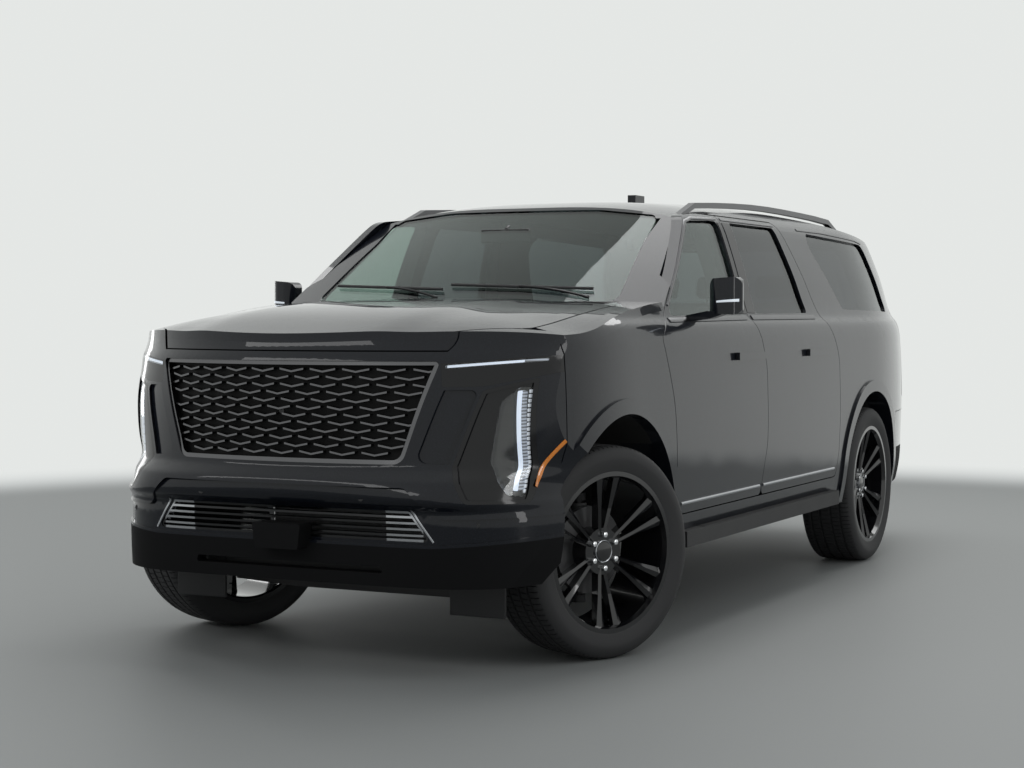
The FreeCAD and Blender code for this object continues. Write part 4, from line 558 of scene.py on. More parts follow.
# Trim laid on the skins


VIEWS = {
    "side": lambda u, v, s: ((1.7 * s, u, v), (-s, 0, 0)),
    "cabin": lambda u, v, s: ((0.5 * s, u, v), (s, 0, 0)),
    "below": lambda u, v, s: ((u * s, v, 1.45), (0, 0, 1)),
    "floor": lambda u, v, s: ((u * s, v, 0.9), (0, 0, -1)),
    "front": lambda u, v, s: ((u * s, -3.4, v), (0, 1, 0)),
    "rear": lambda u, v, s: ((u * s, 3.4, v), (0, -1, 0)),
    "top": lambda u, v, s: ((u * s, v, 2.4), (0, 0, -1)),
}


class Skin:
    """Faces of carried-over parts as they are met from one side."""

    def __init__(self, view, side, *names):
        verts, faces = [], []
        for name in names:
            data = NODES[name].data
            start = len(verts)
            verts += [vert.co.copy() for vert in data.vertices]
            faces += [[start + i for i in face.vertices] for face in data.polygons]
        self.tree = BVHTree.FromPolygons(verts, faces)
        self.view = VIEWS[view]
        self.side = side
        self.axis = {"side": 0, "cabin": 0, "front": 1, "rear": 1}.get(view, 2)
        self.out = -Vector(self.view(0, 0, side)[1])
        self.last = None

    def spot(self, u, v):
        """Place on the skin, or level with the last one where there is none."""
        start, ray = (Vector(part) for part in self.view(u, v, self.side))
        hit = self.tree.ray_cast(start, ray)[0]
        if hit is None:
            if self.last is None:
                hit = self.tree.find_nearest(start)[0]
            start[self.axis] = self.last if self.last is not None else hit[self.axis]
            return start
        self.last = hit[self.axis]
        return hit


def resampled(line, count):
    """Evenly spaced points on a line of corners."""
    runs = [math.dist(a, b) for a, b in zip(line, line[1:])]
    points = []
    for n in range(count + 1):
        at = sum(runs) * n / count
        i = 0
        while i < len(runs) - 1 and at > runs[i]:
            at -= runs[i]
            i += 1
        share = min(1.0, at / runs[i])
        points.append(tuple(a + (b - a) * share for a, b in zip(line[i], line[i + 1])))
    return points


def band(u0, u1, v0, v1):
    """Low and high edge line of a level strip."""
    return [(u0, v0), (u1, v0)], [(u0, v1), (u1, v1)]


def arc(centre, radius, angles):
    """Points of an arc at some angles in degrees."""
    turns = [math.radians(angle) for angle in angles]
    return [(centre[0] + radius * math.cos(turn), centre[1] + radius * math.sin(turn)) for turn in turns]


def laid(name, skin, low, high, body, finish, wall=0.003, crown=0.0, along=24, across=3, lift=0.0004):
    """A thin piece on a skin, between two edge lines."""
    mesh = bmesh.new()
    bmesh.ops.create_grid(mesh, x_segments=along, y_segments=across, size=1.0)
    share = mesh.verts.layers.float.new("across")
    ends = list(zip(resampled(low, along), resampled(high, along)))
    for vert in mesh.verts:
        first, last = ends[round((vert.co.x + 1) / 2 * along)]
        t = (vert.co.y + 1) / 2
        vert[share] = t
        vert.co = skin.spot(*(a + (b - a) * t for a, b in zip(first, last))) + skin.out * lift
    for vert in extruded(mesh, list(mesh.faces)):
        t = vert[share]
        vert.co += skin.out * (wall + crown * 4 * t * (1 - t))
    return piece(name, mesh, body, finish)


def bent(name, points, radius, body, finish):
    """A round bar along a smooth line."""
    data = bpy.data.curves.new(name, "CURVE")
    data.dimensions = "3D"
    data.bevel_depth = radius
    data.bevel_resolution = 3
    data.use_fill_caps = True
    line = data.splines.new("NURBS")
    line.points.add(len(points) - 1)
    for knot, point in zip(line.points, points):
        knot.co = (*point, 1.0)
    line.order_u = 3
    line.use_endpoint_u = True
    line.resolution_u = 8
    holder = bpy.data.objects.new(name + "_line", data)
    mesh = bmesh.new()
    mesh.from_mesh(bpy.data.meshes.new_from_object(holder))
    bpy.data.objects.remove(holder)
    bmesh.ops.remove_doubles(mesh, verts=mesh.verts, dist=1e-6)
    return piece(name, mesh, body, finish)


def bevelled(mesh, radius, segments):
    """A bmesh after all its edges are rounded."""
    bmesh.ops.bevel(
        mesh, geom=mesh.edges[:], offset=radius, affect="EDGES", segments=segments, profile=0.5, material=-1
    )
    return mesh


def rounded_block(low, high, radius, segments=3):
    """A bmesh of a block with rounded edges, between two corners."""
    low, high = Vector(low), Vector(high)
    mesh = bmesh.new()
    bmesh.ops.create_cube(mesh, size=1.0)
    bmesh.ops.scale(mesh, vec=high - low, verts=mesh.verts)
    bmesh.ops.translate(mesh, vec=(low + high) / 2, verts=mesh.verts)
    return bevelled(mesh, radius, segments)


def block(name, low, high, radius, body, finish):
    """A rounded block between two corners."""
    return piece(name, rounded_block(low, high, radius), body, finish)


def merged(meshes):
    """One bmesh of several."""
    whole = bmesh.new()
    for mesh in meshes:
        data = bpy.data.meshes.new("part")
        mesh.to_mesh(data)
        mesh.free()
        whole.from_mesh(data)
        bpy.data.meshes.remove(data)
    return whole


def other(name, side):
    """Name of a piece on one side."""
    return "%s_%s" % ("left" if side > 0 else "right", name)


NUTS, NUT_CIRCLE, NUT_STAND = 6, 0.066, 0.0805
NUT = {"radius1": 0.0125, "radius2": 0.0115, "depth": 0.02}
VALVE_PLACE = Matrix.Translation((0.03, 0.0, -0.268))

# Turned pieces of a wheel: name, section as (x, r), steps round, closed section, finish
WHEEL_PIECES = (
    ("cap", ((0.071, 0.0), (0.071, 0.04), (0.079, 0.04), (0.082, 0.037), (0.0845, 0.02), (0.085, 0.0)),
     48, False, "wheel"),
    ("cap_ring", ((0.071, 0.0402), (0.071, 0.0445), (0.0795, 0.0445), (0.081, 0.0424), (0.0795, 0.0402)),
     64, True, "silver"),
    ("brake_disc",
     ((-0.031, 0.088), (-0.031, 0.172), (-0.022, 0.172), (-0.022, 0.166),
      (-0.013, 0.166), (-0.013, 0.172), (-0.004, 0.172), (-0.004, 0.088)),
     72, True, "iron"),
    ("valve", ((0.04, 0.0), (0.04, 0.0035), (0.075, 0.003), (0.078, 0.0)), 12, False, "gloss"),
)


class SUV_OT_wheel_trim(bpy.types.Operator):
    """Wheel nuts, blank caps and brake discs"""

    bl_idname = "suv.wheel_trim"
    bl_label = "Wheel trim"

    def execute(self, context):
        stand = Matrix.Translation((NUT_STAND, 0, NUT_CIRCLE)) @ Matrix.Rotation(math.pi / 2, 4, "Y")
        for name, place in wheels():
            body = name + "_wheel"
            nuts = []
            for n in range(NUTS):
                nut = bmesh.new()
                bmesh.ops.create_cone(nut, cap_ends=True, segments=6, **NUT)
                turn = Matrix.Rotation(math.tau * n / NUTS, 4, "X")
                nuts.append(moved(bevelled(nut, 0.0014, 2), turn @ stand))
            piece(name + "_nuts", moved(merged(nuts), place), body, "chrome")
            for part, section, steps, closed, finish in WHEEL_PIECES:
                spot = place @ VALVE_PLACE if part == "valve" else place
                piece("%s_%s" % (name, part), moved(spun(section, steps, closed), spot), body, finish)
        return {"FINISHED"}


# Finish, thickness, crown and faces along and across of the side's trim
BELT = ("shade", 0.004, 0.002, 40)
TOP = ("shade", 0.003, 0.001, 60)
PILLAR = ("gloss", 0.002, 0.0, 6, 24)
MOULDING = ("silver", 0.006, 0.003, 40)
# Trim of a side: name, panel, low and high edge as (y, z), form
SIDE_TRIM = (
    ("front_belt_trim", "front_door",
     [(-1.385, 1.316), (-0.42, 1.324)], [(-1.385, 1.334), (-0.42, 1.344)], *BELT),
    ("rear_belt_trim", "rear_door",
     [(-0.345, 1.324), (0.6, 1.326)], [(-0.345, 1.344), (0.6, 1.346)], *BELT),
    ("front_top_trim", "front_door",
     [(-1.325, 1.383), (-0.83, 1.755), (-0.72, 1.778), (-0.385, 1.788)],
     [(-1.335, 1.39), (-0.834, 1.768), (-0.72, 1.79), (-0.385, 1.799)], *TOP),
    ("rear_top_trim", "rear_door",
     [(-0.32, 1.788), (0.43, 1.788)], [(-0.32, 1.799), (0.437, 1.799)], "shade", 0.003, 0.001, 50),
    ("quarter_trim", "body_side",
     [(0.79, 1.782), (1.2, 1.782), (1.8, 1.762), (1.95, 1.748)],
     [(0.79, 1.793), (1.2, 1.793), (1.8, 1.773), (1.955, 1.76)], *TOP),
    ("front_pillar_cover", "front_door",
     [(-0.432, 1.352), (-0.378, 1.352)], [(-0.393, 1.776), (-0.352, 1.776)], *PILLAR),
    ("rear_pillar_cover", "rear_door",
     [(-0.37, 1.356), (-0.262, 1.354)], [(-0.334, 1.777), (-0.237, 1.777)], *PILLAR),
    ("front_moulding", "front_door", *band(-1.37, -0.39, 0.548, 0.562), *MOULDING),
    ("rear_moulding", "rear_door", *band(-0.34, 0.76, 0.548, 0.562), *MOULDING),
)
# Where each wiper has its foot and its tip, across the screen
WIPERS = ((0.62, -0.03), (-0.06, -0.68))


class SUV_OT_window_trim(bpy.types.Operator):
    """Mouldings and dark pillars round the side windows, low mouldings and the wipers"""

    bl_idname = "suv.window_trim"
    bl_label = "Window trim"

    def execute(self, context):
        for _, side in SIDES:
            panels = ("front_door", "rear_door", "body_side")
            skins = {panel: Skin("side", side, other(panel, side)) for panel in panels}
            for name, panel, low, high, *form in SIDE_TRIM:
                body = "body" if panel == "body_side" else other(panel + "_body", side)
                laid(other(name, side), skins[panel], low, high, body, *form)
        screen = Skin("front", 1, "windscreen", "roof_panel", "bulkhead")
        for n, (foot, tip) in enumerate(WIPERS):
            blade = []
            for share in (0.0, 0.25, 0.5, 0.75, 1.0):
                spot = screen.spot(foot + (tip - foot) * share, 1.452 + 0.02 * share)
                blade.append(spot + Vector((0, -0.012, 0.006)))
            bent("wiper_blade_%d" % n, blade, 0.007, "body", "matte")
            heel = screen.spot(foot, 1.425) + Vector((0, -0.02, -0.005))
            arm = [heel, blade[1] + Vector((0, -0.012, 0.0)), blade[2]]
            bent("wiper_arm_%d" % n, arm, 0.006, "body", "gloss")
        return {"FINISHED"}


LENSES, LENS_FOOT, LENS_PITCH = 22, 0.700, 0.0174
LENS_X, LENS_LEAN = 0.8722, 0.0075
LENS_SIZE = Vector((0.004, 0, 0.0062))
LENS_DEPTH = Vector((0, 0.02, 0))
RIBS, RIB_FOOT, RIB_PITCH, RIB_HALF = 8, 0.745, 0.04, 0.0015
RIB_ENDS = (0.832, 0.8)
MARKER_CENTRE = (-1.948, 0.446)
MARKER_RADII = (0.627, 0.642)
SENSOR = ((0.002, 0.0), (0.002, 0.0105), (-0.004, 0.012), (-0.004, 0.0))
SENSOR_SPOTS = ((0.354, 0.676), (0.759, 0.583))
CAMERA = ((0.004, 0.0), (0.006, 0.006), (0.006, 0.011), (-0.01, 0.012), (-0.01, 0.0))


def lamp_lenses(cover):
    """Stack of small lenses behind a lamp's cover."""
    lenses = []
    for n in range(LENSES):
        x = LENS_X + LENS_LEAN * n / (LENSES - 1)
        spot = cover.spot(x, LENS_FOOT + LENS_PITCH * n) + Vector((0, 0.0105, 0))
        lenses.append(rounded_block(spot - LENS_SIZE, spot + LENS_SIZE + LENS_DEPTH, 0.002))
    return merged(lenses)


def lamp_ribs(cover):
    """Level ribs beside the lenses."""
    ribs = []
    for n in range(RIBS):
        z = RIB_FOOT + RIB_PITCH * n
        near, far = (cover.spot(x, z) + Vector((0, 0.012, 0)) for x in RIB_ENDS)
        low, high = sorted((near.x, far.x))
        y = max(near.y, far.y)
        ribs.append(rounded_block((low, y, z - RIB_HALF), (high, y + 0.018, z + RIB_HALF), 0.0006, 1))
    return merged(ribs)


def nose_stud(name, section, spot, finish):
    """A small turned piece that looks forward from a spot."""
    mesh = spun(section, 24, False)
    bmesh.ops.rotate(mesh, cent=(0, 0, 0), matrix=Matrix.Rotation(-math.pi / 2, 3, "Z"), verts=mesh.verts)
    bmesh.ops.translate(mesh, vec=spot, verts=mesh.verts)
    piece(name, mesh, "body", finish)


class SUV_OT_front_trim(bpy.types.Operator):
    """Lenses and ribs in the front lamps, markers, air flaps, sensors and the ends of the low grille"""

    bl_idname = "suv.front_trim"
    bl_label = "Front trim"

    def execute(self, context):
        for _, side in SIDES:
            cover = Skin("front", side, "headlamps")
            piece(other("lamp_lenses", side), lamp_lenses(cover), "body", "reading")
            piece(other("lamp_ribs", side), lamp_ribs(cover), "body", "shade")
            bumper = Skin("side", side, "front_bumper")
            edges = [arc(MARKER_CENTRE, radius, range(137, 156)) for radius in MARKER_RADII]
            laid(other("amber_marker", side), bumper, *edges, "body", "amber", 0.003, 0.001, 30, 3)
            y = Skin("front", side, "wheel_housings").spot(0.63, 0.5).y
            low, high = sorted((side * 0.514, side * 0.75))
            corners = (low, y - 0.012, 0.206), (high, y + 0.002, 0.52)
            block(other("air_flap", side), *corners, 0.0035, "body", "matte")
            nose = Skin("front", side, "front_bumper")
            laid(other("low_grille_frame", side), nose, [(0.6125, 0.517), (0.53, 0.634)],
                 [(0.619, 0.521), (0.5365, 0.639)], "body", "silver", 0.003, 0.001, 30, 2)
            for n, place in enumerate(SENSOR_SPOTS):
                spot = nose.spot(*place) + Vector((0, 0.0035, 0))
                nose_stud(other("sensor_%d" % n, side), SENSOR, spot, "matte")
        grille = Skin("front", 1, "grille")
        nose_stud("front_camera", CAMERA, grille.spot(0.0, 0.988) + Vector((0, 0.004, 0)), "gloss")
        return {"FINISHED"}


class SUV_OT_rear_trim(bpy.types.Operator):
    """Blank plate, bright strip, stop lamp and reflectors of the rear"""

    bl_idname = "suv.rear_trim"
    bl_label = "Rear trim"

    def execute(self, context):
        gate = Skin("rear", 1, "liftgate")
        for name, edges, *form in (
            ("rear_plate", band(-0.152, 0.152, 0.968, 1.112), "plate", 0.003, 0.0, 20, 10, 0.002),
            ("gate_strip", band(-0.6, 0.6, 1.146, 1.168), "silver", 0.005, 0.003, 60, 4),
            ("stop_lamp", band(-0.22, 0.22, 1.772, 1.786), "red", 0.003, 0.001, 40, 3),
        ):
            laid(name, gate, *edges, "liftgate_body", *form)
        for _, side in SIDES:
            bumper = Skin("rear", side, "rear_bumper")
            edges = band(0.6, 0.78, 0.628, 0.652)
            # The reflectors take the stop lamp's faintly glowing red, so they glow though they are no lamp:
            # painted light
            laid(other("rear_reflector", side), bumper, *edges, "body", "red", 0.004, 0.001, 20, 3)
            lamp = Skin("rear", side, "tail_lamps")
            laid(other("tail_light_line", side), lamp, [(0.825, 0.92), (0.8, 1.2), (0.745, 1.5)],
                 [(0.835, 0.92), (0.81, 1.2), (0.755, 1.5)], "body", "reading", 0.002, 0.001, 60, 2)
        return {"FINISHED"}


STEP_RIBS, STEP_RIB_X, STEP_RIB_PITCH, STEP_RIB_WIDTH = 5, 0.995, 0.0095, 0.004


class SUV_OT_body_trim(bpy.types.Operator):
    """Mirror glass and lamps, and the ribs of the running boards"""

    bl_idname = "suv.body_trim"
    bl_label = "Body trim"

    def execute(self, context):
        for _, side in SIDES:
            door = other("front_door_body", side)
            low, high = sorted((1.060 * side, 1.174 * side))
            corners = (low, -1.0675, 1.364), (high, -1.0625, 1.492)
            block(other("mirror_glass", side), *corners, 0.0022, door, "mirror_glass")
            shell = Skin("front", side, other("mirror", side))
            laid(other("mirror_lamp", side), shell, [(1.09, 1.398), (1.176, 1.402)],
                 [(1.09, 1.406), (1.176, 1.414)], door, "reading", 0.002, 0.001, 24, 3)
            board = Skin("top", side, "running_boards")
            for n in range(STEP_RIBS):
                x = STEP_RIB_X + STEP_RIB_PITCH * n
                edges = ([(u, -1.15), (u, 0.78)] for u in (x, x + STEP_RIB_WIDTH))
                laid(other("step_rib_%d" % n, side), board, *edges, "body", "rubber", 0.002, 0.0005, 40, 2)
        return {"FINISHED"}


VENTS, VANES, VANE_FOOT, VANE_PITCH = (-0.62, -0.36), 5, 1.125, 0.014
INNER_MIRROR = Vector((0.0, -0.985, 1.705))
INNER_MIRROR_HALF = Vector((0.125, 0.012, 0.032))
MATS = ((-1.27, -0.98), (-0.08, 0.02))
DOOR_CARDS = (("front_door", -1.28, -0.5), ("rear_door", -0.2, 0.52))


def vent(dash, x):
    """Level vanes of an air vent."""
    vanes = []
    for k in range(VANES):
        spot = dash.spot(x, VANE_FOOT + VANE_PITCH * k)
        corners = spot - Vector((0.1, 0.002, 0.004)), spot + Vector((0.1, 0.008, 0.004))
        vanes.append(rounded_block(*corners, 0.0015, 2))
    return merged(vanes)


class SUV_OT_cabin(bpy.types.Operator):
    """Linings, door cards, displays, console, floor mats and the inner mirror"""

    bl_idname = "suv.cabin"
    bl_label = "Cabin"

    def execute(self, context):
        roof = Skin("below", 1, "roof_panel")
        laid("roof_lining", roof, [(-0.6, -0.62), (-0.6, 2.0)], [(0.6, -0.62), (0.6, 2.0)],
             "body", "lining", 0.006, 0.0, 40, 24)
        dash = Skin("rear", 1, "dashboard")
        laid("dash_strip", dash, *band(-0.71, 0.71, 1.075, 1.09), "body", "silver", 0.003, 0.001, 60, 3)
        laid("dash_display", dash, *band(-0.12, 0.66, 1.12, 1.262), "body", "screen", 0.012, 0.0, 40, 6)
        for n, x in enumerate(VENTS):
            piece("dash_vent_%d" % n, vent(dash, x), "body", "gloss")
        block("console_lid", (-0.125, -0.72, 0.8302), (0.125, -0.32, 0.868), 0.012, "body", "leather")
        block("console_panel", (-0.115, -1.12, 0.8302), (0.115, -0.74, 0.838), 0.003, "body", "screen")
        head = INNER_MIRROR
        block("inner_mirror", head - INNER_MIRROR_HALF, head + INNER_MIRROR_HALF, 0.009, "body", "gloss")
        stem_line = [head, head + Vector((0, -0.02, 0.03)), Skin("rear", 1, "windscreen").spot(0.0, 1.75)]
        bent("inner_mirror_stem", stem_line, 0.007, "body", "gloss")
        pan = Skin("floor", 1, "floor_pan")
        for n, (y0, y1) in enumerate(MATS):
            for _, side in SIDES:
                edges = band(side * 0.19, side * 0.62, y0, y1)
                laid(other("floor_mat_%d" % n, side), pan, *edges, "body", "carpet", 0.008, 0.002, 20, 8)
        for _, side in SIDES:
            for door, y0, y1 in DOOR_CARDS:
                body = other(door + "_body", side)
                card = Skin("cabin", side, other(door, side))
                for part, edges, *form in (
                    ("armrest", band(y0 + 0.1, y1, 0.87, 0.94), "leather", 0.03, 0.012, 30, 6),
                    ("upper_card", band(y0, y1, 1.0, 1.27), "leather", 0.004, 0.003, 30, 6),
                    ("grab_strip", band(y0 + 0.1, y1 - 0.1, 1.01, 1.022), "silver", 0.009, 0.002, 30, 3),
                ):
                    laid(other("%s_%s" % (door, part), side), card, *edges, body, *form)
        return {"FINISHED"}


# Seats

LEATHER = {
    "quality": 4, "use_pressure": True, "uniform_pressure_force": 4.0,
    "tension_stiffness": 22.0, "compression_stiffness": 22.0, "shear_stiffness": 12.0,
}
CLOTH_FRAMES = 20
SWELL_LIMIT = 0.022
X, Y, Z = range(3)
UP, FORWARD = (Z, 1), (Y, -1)
CHANNEL_WIDTH = 0.009


def evaluated(obj):
    """Mesh of an object with its modifiers applied."""
    return bpy.data.meshes.new_from_object(obj.evaluated_get(bpy.context.evaluated_depsgraph_get()))


def swollen(name, mesh, voxel):
    """A pad's mesh: remeshed, blown up as sewn leather and held to a small swell."""
    data = bpy.data.meshes.new(name)
    mesh.to_mesh(data)
    mesh.free()
    obj = shown(name, data)
    remesh = obj.modifiers.new("remesh", "REMESH")
    remesh.mode = "VOXEL"
    remesh.voxel_size = voxel
    bpy.context.view_layer.update()
    shape = evaluated(obj)
    obj.modifiers.clear()
    obj.data = shape
    cloth = obj.modifiers.new("cloth", "CLOTH")
    for key, value in LEATHER.items():
        setattr(cloth.settings, key, value)
    cloth.settings.effector_weights.gravity = 0.0
    cloth.point_cache.frame_start = 1
    cloth.point_cache.frame_end = CLOTH_FRAMES
    for frame_number in range(1, CLOTH_FRAMES + 1):
        bpy.context.scene.frame_set(frame_number)
    blown = evaluated(obj)
    for vert, first in zip(blown.vertices, shape.vertices):
        move = vert.co - first.co
        if move.length > SWELL_LIMIT:
            vert.co = first.co + move.normalized() * SWELL_LIMIT
    obj.modifiers.clear()
    bpy.context.scene.frame_set(1)
    shape = blown
    result = bmesh.new()
    result.from_mesh(shape)
    bpy.data.objects.remove(obj)
    return result


def pressed(mesh, axis, places, facing, depth):
    """Presses sewn channels into the face of a pad that looks one way, each at a place along an axis."""
    for place in places:
        mesh.normal_update()
        face, sign = facing
        moves = []
        for vert in mesh.verts:
            off = abs(vert.co[axis] - place)
            near = off < CHANNEL_WIDTH * 2 and vert.normal[face] * sign > 0.35
            moves.append(math.exp(-((off / CHANNEL_WIDTH) ** 2)) if near else 0.0)
        for vert, push in zip(mesh.verts, moves):
            vert.co -= vert.normal * depth * push


def seat_shapes(width, wings):
    """Cushion and back of a seat about its middle, with side wings."""
    half = width / 2
    cushion = [rounded_block((-half + 0.05, -0.245, -0.06), (half - 0.05, 0.245, 0.04), 0.035)]
    back = [rounded_block((-half + 0.055, -0.045, -0.22), (half - 0.055, 0.045, 0.22), 0.035)]
    if wings:
        for side in (-1, 1):
            x0, x1 = sorted((side * (half - 0.085), side * (half - 0.018)))
            cushion.append(rounded_block((x0, -0.235, -0.06), (x1, 0.235, 0.062), 0.03))
            back.append(rounded_block((x0, -0.065, -0.21), (x1, 0.045, 0.17), 0.03))
    return merged(cushion), merged(back)


def placed(mesh, place):
    """A copy of a bmesh, moved to a place."""
    twin = mesh.copy()
    bmesh.ops.transform(twin, matrix=place, verts=twin.verts)
    return twin


LEAN = math.radians(-18)
SEAT_WIDTH, BENCH_WIDTH = 0.52, 1.18
PAD_INSET = 0.05
HEADS = {SEAT_WIDTH: (0.0,), BENCH_WIDTH: (-0.36, 0.0, 0.36)}
POST_HEIGHTS = (0.19, 0.22, 0.25)
# Rows of seats: node, word, y, rise above the front row, places across, width
ROWS = (
    ("front_seats", "front", -0.655, 0.0, (-0.4, 0.4), SEAT_WIDTH),
    ("second_row_seats", "second", 0.295, 0.0, (-0.4, 0.4), SEAT_WIDTH),
    ("third_row_bench", "third", 1.325, 0.18, (0.0,), BENCH_WIDTH),
)


def sewn_pads():
    """Cushion, back and head restraint of each width."""
    cushion, back = (swollen("seat_pad", mesh, 0.009) for mesh in seat_shapes(SEAT_WIDTH, True))
    wide_cushion, wide_back = (swollen("bench_pad", mesh, 0.012) for mesh in seat_shapes(BENCH_WIDTH, False))
    rest = swollen("rest_pad", rounded_block((-0.12, -0.04, -0.065), (0.12, 0.04, 0.065), 0.03), 0.008)
    pressed(cushion, X, (-0.165, 0.165), UP, 0.008)
    pressed(back, X, (-0.165, 0.165), FORWARD, 0.008)
    pressed(cushion, Y, (-0.12, 0.0, 0.12), UP, 0.005)
    pressed(back, Z, (-0.11, 0.0, 0.11), FORWARD, 0.005)
    pressed(wide_cushion, X, (-0.2, 0.2), UP, 0.008)
    pressed(wide_back, X, (-0.2, 0.2), FORWARD, 0.008)
    return {SEAT_WIDTH: (cushion, back, rest), BENCH_WIDTH: (wide_cushion, wide_back, rest)}


def pad(name, mesh, place, node):
    """A padded leather piece that stands for a node."""
    obj = piece(name, placed(mesh, place), "body", "pad")
    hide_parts(node)


class SUV_OT_seats(bpy.types.Operator):
    """Padded seats of the three rows, blown up as cloth and sewn"""

    bl_idname = "suv.seats"
    bl_label = "Seats"

    def execute(self, context):
        pads = sewn_pads()
        for node, word, y, rise, places, width in ROWS:
            for n, x in enumerate(places):
                self.seat("%s_seat_%d" % (word, n), node, Vector((x, y, rise)), width, pads[width])
        for mesh in {mesh for row in pads.values() for mesh in row}:
            mesh.free()
        return {"FINISHED"}

    def seat(self, label, node, spot, width, pads):
        """One seat: cushion, back, head restraints with their posts, base and back shell."""
        cushion, back, rest = pads
        tilt = Matrix.Translation(spot + Vector((0, 0.325, 1.045))) @ Matrix.Rotation(LEAN, 4, "X")
        pad(label + "_cushion", cushion, Matrix.Translation(spot + Vector((0, 0, 0.755))), node)
        pad(label + "_back", back, tilt, node)
        for k, head in enumerate(HEADS[width]):
            pad("%s_rest_%d" % (label, k), rest, tilt @ Matrix.Translation((head, 0.0, 0.292)), node)
            for side in (-0.05, 0.05):
                post = [tilt @ Vector((head + side, 0, z)) for z in POST_HEIGHTS]
                bent("%s_rest_post_%d_%d" % (label, k, side > 0), post, 0.006, "body", "chrome")
        half = width / 2 - PAD_INSET
        base = block(label + "_base", spot + Vector((-half, -0.2, 0.5003)), spot + Vector((half, 0.24, 0.7)),
                     0.02, "body", "matte")
        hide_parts(node)
        shell = rounded_block((-half + 0.02, 0.035, -0.24), (half - 0.02, 0.066, 0.2), 0.012)
        piece(label + "_back_shell", moved(shell, tilt), "body", "matte")


# Stage

FLOOR_RADIUS = 60.0
# Where the floor turns pale and where it takes the backdrop's own light, as distances from the middle
PALE = (6.0, 8.4)
GLOWING = (6.2, 8.6)
LIGHT_AIM = Vector((0, 0, 0.8))
# Area lights: name, place, width, depth, watts
LIGHTS = (
    ("top_light", (0.5, 2.2, 6.5), 2.8, 9.0, 230.0),
    ("side_light", (8.5, -2.0, 4.6), 1.1, 9.0, 130.0),
    ("front_light", (-3.0, -9.0, 4.8), 8.0, 1.2, 110.0),
    ("far_light", (-9.0, 3.0, 4.6), 1.3, 9.0, 110.0),
)
EYE = (4.0331, -8.9731, 1.3469)
YAW, PITCH = math.radians(26.60), math.radians(-2.035)


def faded(finish, away, limits):
    """Expression that rises smoothly from 0 to 1 between two distances."""
    smooth = {"interpolation_type": "SMOOTHSTEP"}
    low, high = limits
    return finish.node("ShaderNodeMapRange", smooth, Value=away, From_Min=low, From_Max=high)["Result"]


def studio_floor(backdrop):
    """Grey floor that fades into the backdrop."""
    mesh = bmesh.new()
    bmesh.ops.create_circle(mesh, cap_ends=True, segments=96, radius=FLOOR_RADIUS)
    data = bpy.data.meshes.new("floor")
    mesh.to_mesh(data)
    mesh.free()
    floor = shown("floor", data)
    finish = Finish("studio_floor", (0.4, 0.41, 0.4), 0.55)
    away = finish.node("ShaderNodeVectorMath", {"operation": "LENGTH"}, Vector=finish.where)["Value"]
    finish.set("Base Color", mixed_colour(finish, faded(finish, away, PALE), (0.25, 0.258, 0.252), backdrop))
    finish.bump(finish.noise(60.0, 3.0), 0.1, 0.002)
    glow = finish.node("ShaderNodeEmission", Color=backdrop)["Emission"]
    mixed_shader(finish.tree, faded(finish, away, GLOWING), finish.surface, glow, finish.end)
    floor.data.materials.append(finish.material)


def studio_world(backdrop):
    """Even light, with the backdrop's colour wherever it is seen, mirrored or looked at through glass."""
    world = bpy.data.worlds.new("studio")
    bpy.context.scene.world = world
    world.use_nodes = True
    tree = world.node_tree
    tree.nodes.clear()
    rays = shader_node(tree, "ShaderNodeLightPath")
    seen = rays["Is Camera Ray"] + rays["Is Glossy Ray"] + rays["Is Transmission Ray"]
    lamp = shader_node(tree, "ShaderNodeBackground", Color=(0.9, 0.95, 1.0), Strength=0.42)["Background"]
    back = shader_node(tree, "ShaderNodeBackground", Color=backdrop, Strength=1.0)["Background"]
    out = tree.nodes.new("ShaderNodeOutputWorld")
    mixed_shader(tree, seen, lamp, back, out.inputs["Surface"])


def area_light(name, place, width, depth, power):
    """A rectangular light that aims at the vehicle."""
    lamp = bpy.data.lights.new(name, "AREA")
    lamp.shape = "RECTANGLE"
    lamp.size = width
    lamp.size_y = depth
    lamp.energy = power
    obj = shown(name, lamp)
    obj.location = place
    obj.rotation_euler = (LIGHT_AIM - Vector(place)).to_track_quat("-Z", "Y").to_euler()


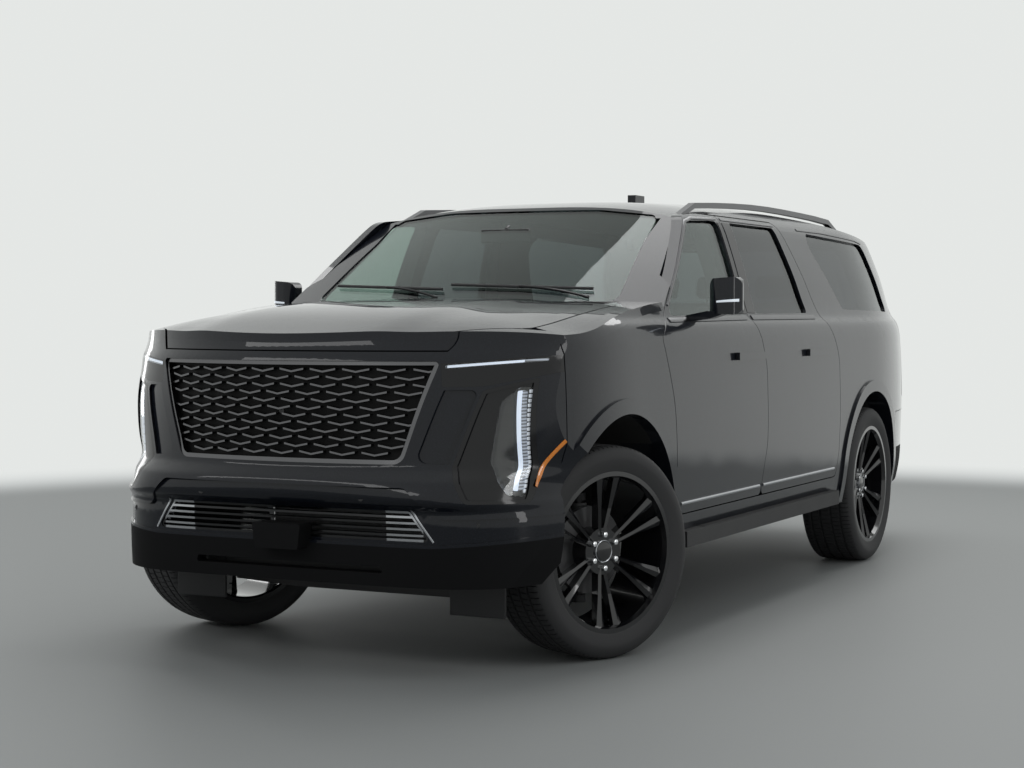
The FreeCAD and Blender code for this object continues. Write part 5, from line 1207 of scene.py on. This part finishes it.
def photo_camera(lens):
    """Camera where the photograph was taken from."""
    camera = bpy.data.cameras.new("camera")
    camera.lens = lens
    camera.sensor_width = 36.0
    camera.clip_end = 200.0
    eye = shown("camera", camera)
    eye.location = EYE
    ahead = Vector((-math.sin(YAW) * math.cos(PITCH), math.cos(YAW) * math.cos(PITCH), math.sin(PITCH)))
    eye.rotation_euler = ahead.to_track_quat("-Z", "Y").to_euler()
    bpy.context.scene.camera = eye


class SUV_OT_stage(bpy.types.Operator):
    """Floor, light and the camera"""

    bl_idname = "suv.stage"
    bl_label = "Stage"

    def execute(self, context):
        settings = context.scene.suv_stage
        context.scene.view_settings.view_transform = "Standard"
        studio_floor(settings.backdrop)
        studio_world(settings.backdrop)
        for light in LIGHTS:
            area_light(*light)
        photo_camera(settings.lens)
        return {"FINISHED"}


class SUV_PT_panel(bpy.types.Panel):
    """Operators of the vehicle's pieces"""

    bl_idname = "SUV_PT_panel"
    bl_label = "SUV"
    bl_space_type = "VIEW_3D"
    bl_region_type = "UI"
    bl_category = "SUV"

    def draw(self, context):
        scene = context.scene
        for settings in (scene.suv_paint, scene.suv_glass, scene.suv_tyres, scene.suv_stage):
            box = self.layout.box()
            for name in settings.__annotations__:
                box.prop(settings, name)
        for operator in OPERATORS:
            self.layout.operator(operator.bl_idname)


SETTINGS = {
    "suv_paint": PaintSettings,
    "suv_glass": GlassSettings,
    "suv_tyres": TyreSettings,
    "suv_stage": StageSettings,
}
OPERATORS = (
    SUV_OT_stage,
    SUV_OT_finishes,
    SUV_OT_tyres,
    SUV_OT_wheel_trim,
    SUV_OT_window_trim,
    SUV_OT_front_trim,
    SUV_OT_rear_trim,
    SUV_OT_body_trim,
    SUV_OT_cabin,
    SUV_OT_seats,
)
CLASSES = (*SETTINGS.values(), *OPERATORS, SUV_PT_panel)


def register():
    """Adds the settings, operators and panel."""
    for item in CLASSES:
        bpy.utils.register_class(item)
    for name, group in SETTINGS.items():
        setattr(bpy.types.Scene, name, bpy.props.PointerProperty(type=group))


def unregister():
    """Takes them away again."""
    for name in SETTINGS:
        delattr(bpy.types.Scene, name)
    for item in reversed(CLASSES):
        bpy.utils.unregister_class(item)


def main():
    """Dresses the vehicle."""
    register()
    for operator in OPERATORS:
        group, name = operator.bl_idname.split(".")
        getattr(getattr(bpy.ops, group), name)()


if __name__ == "__main__":
    main()
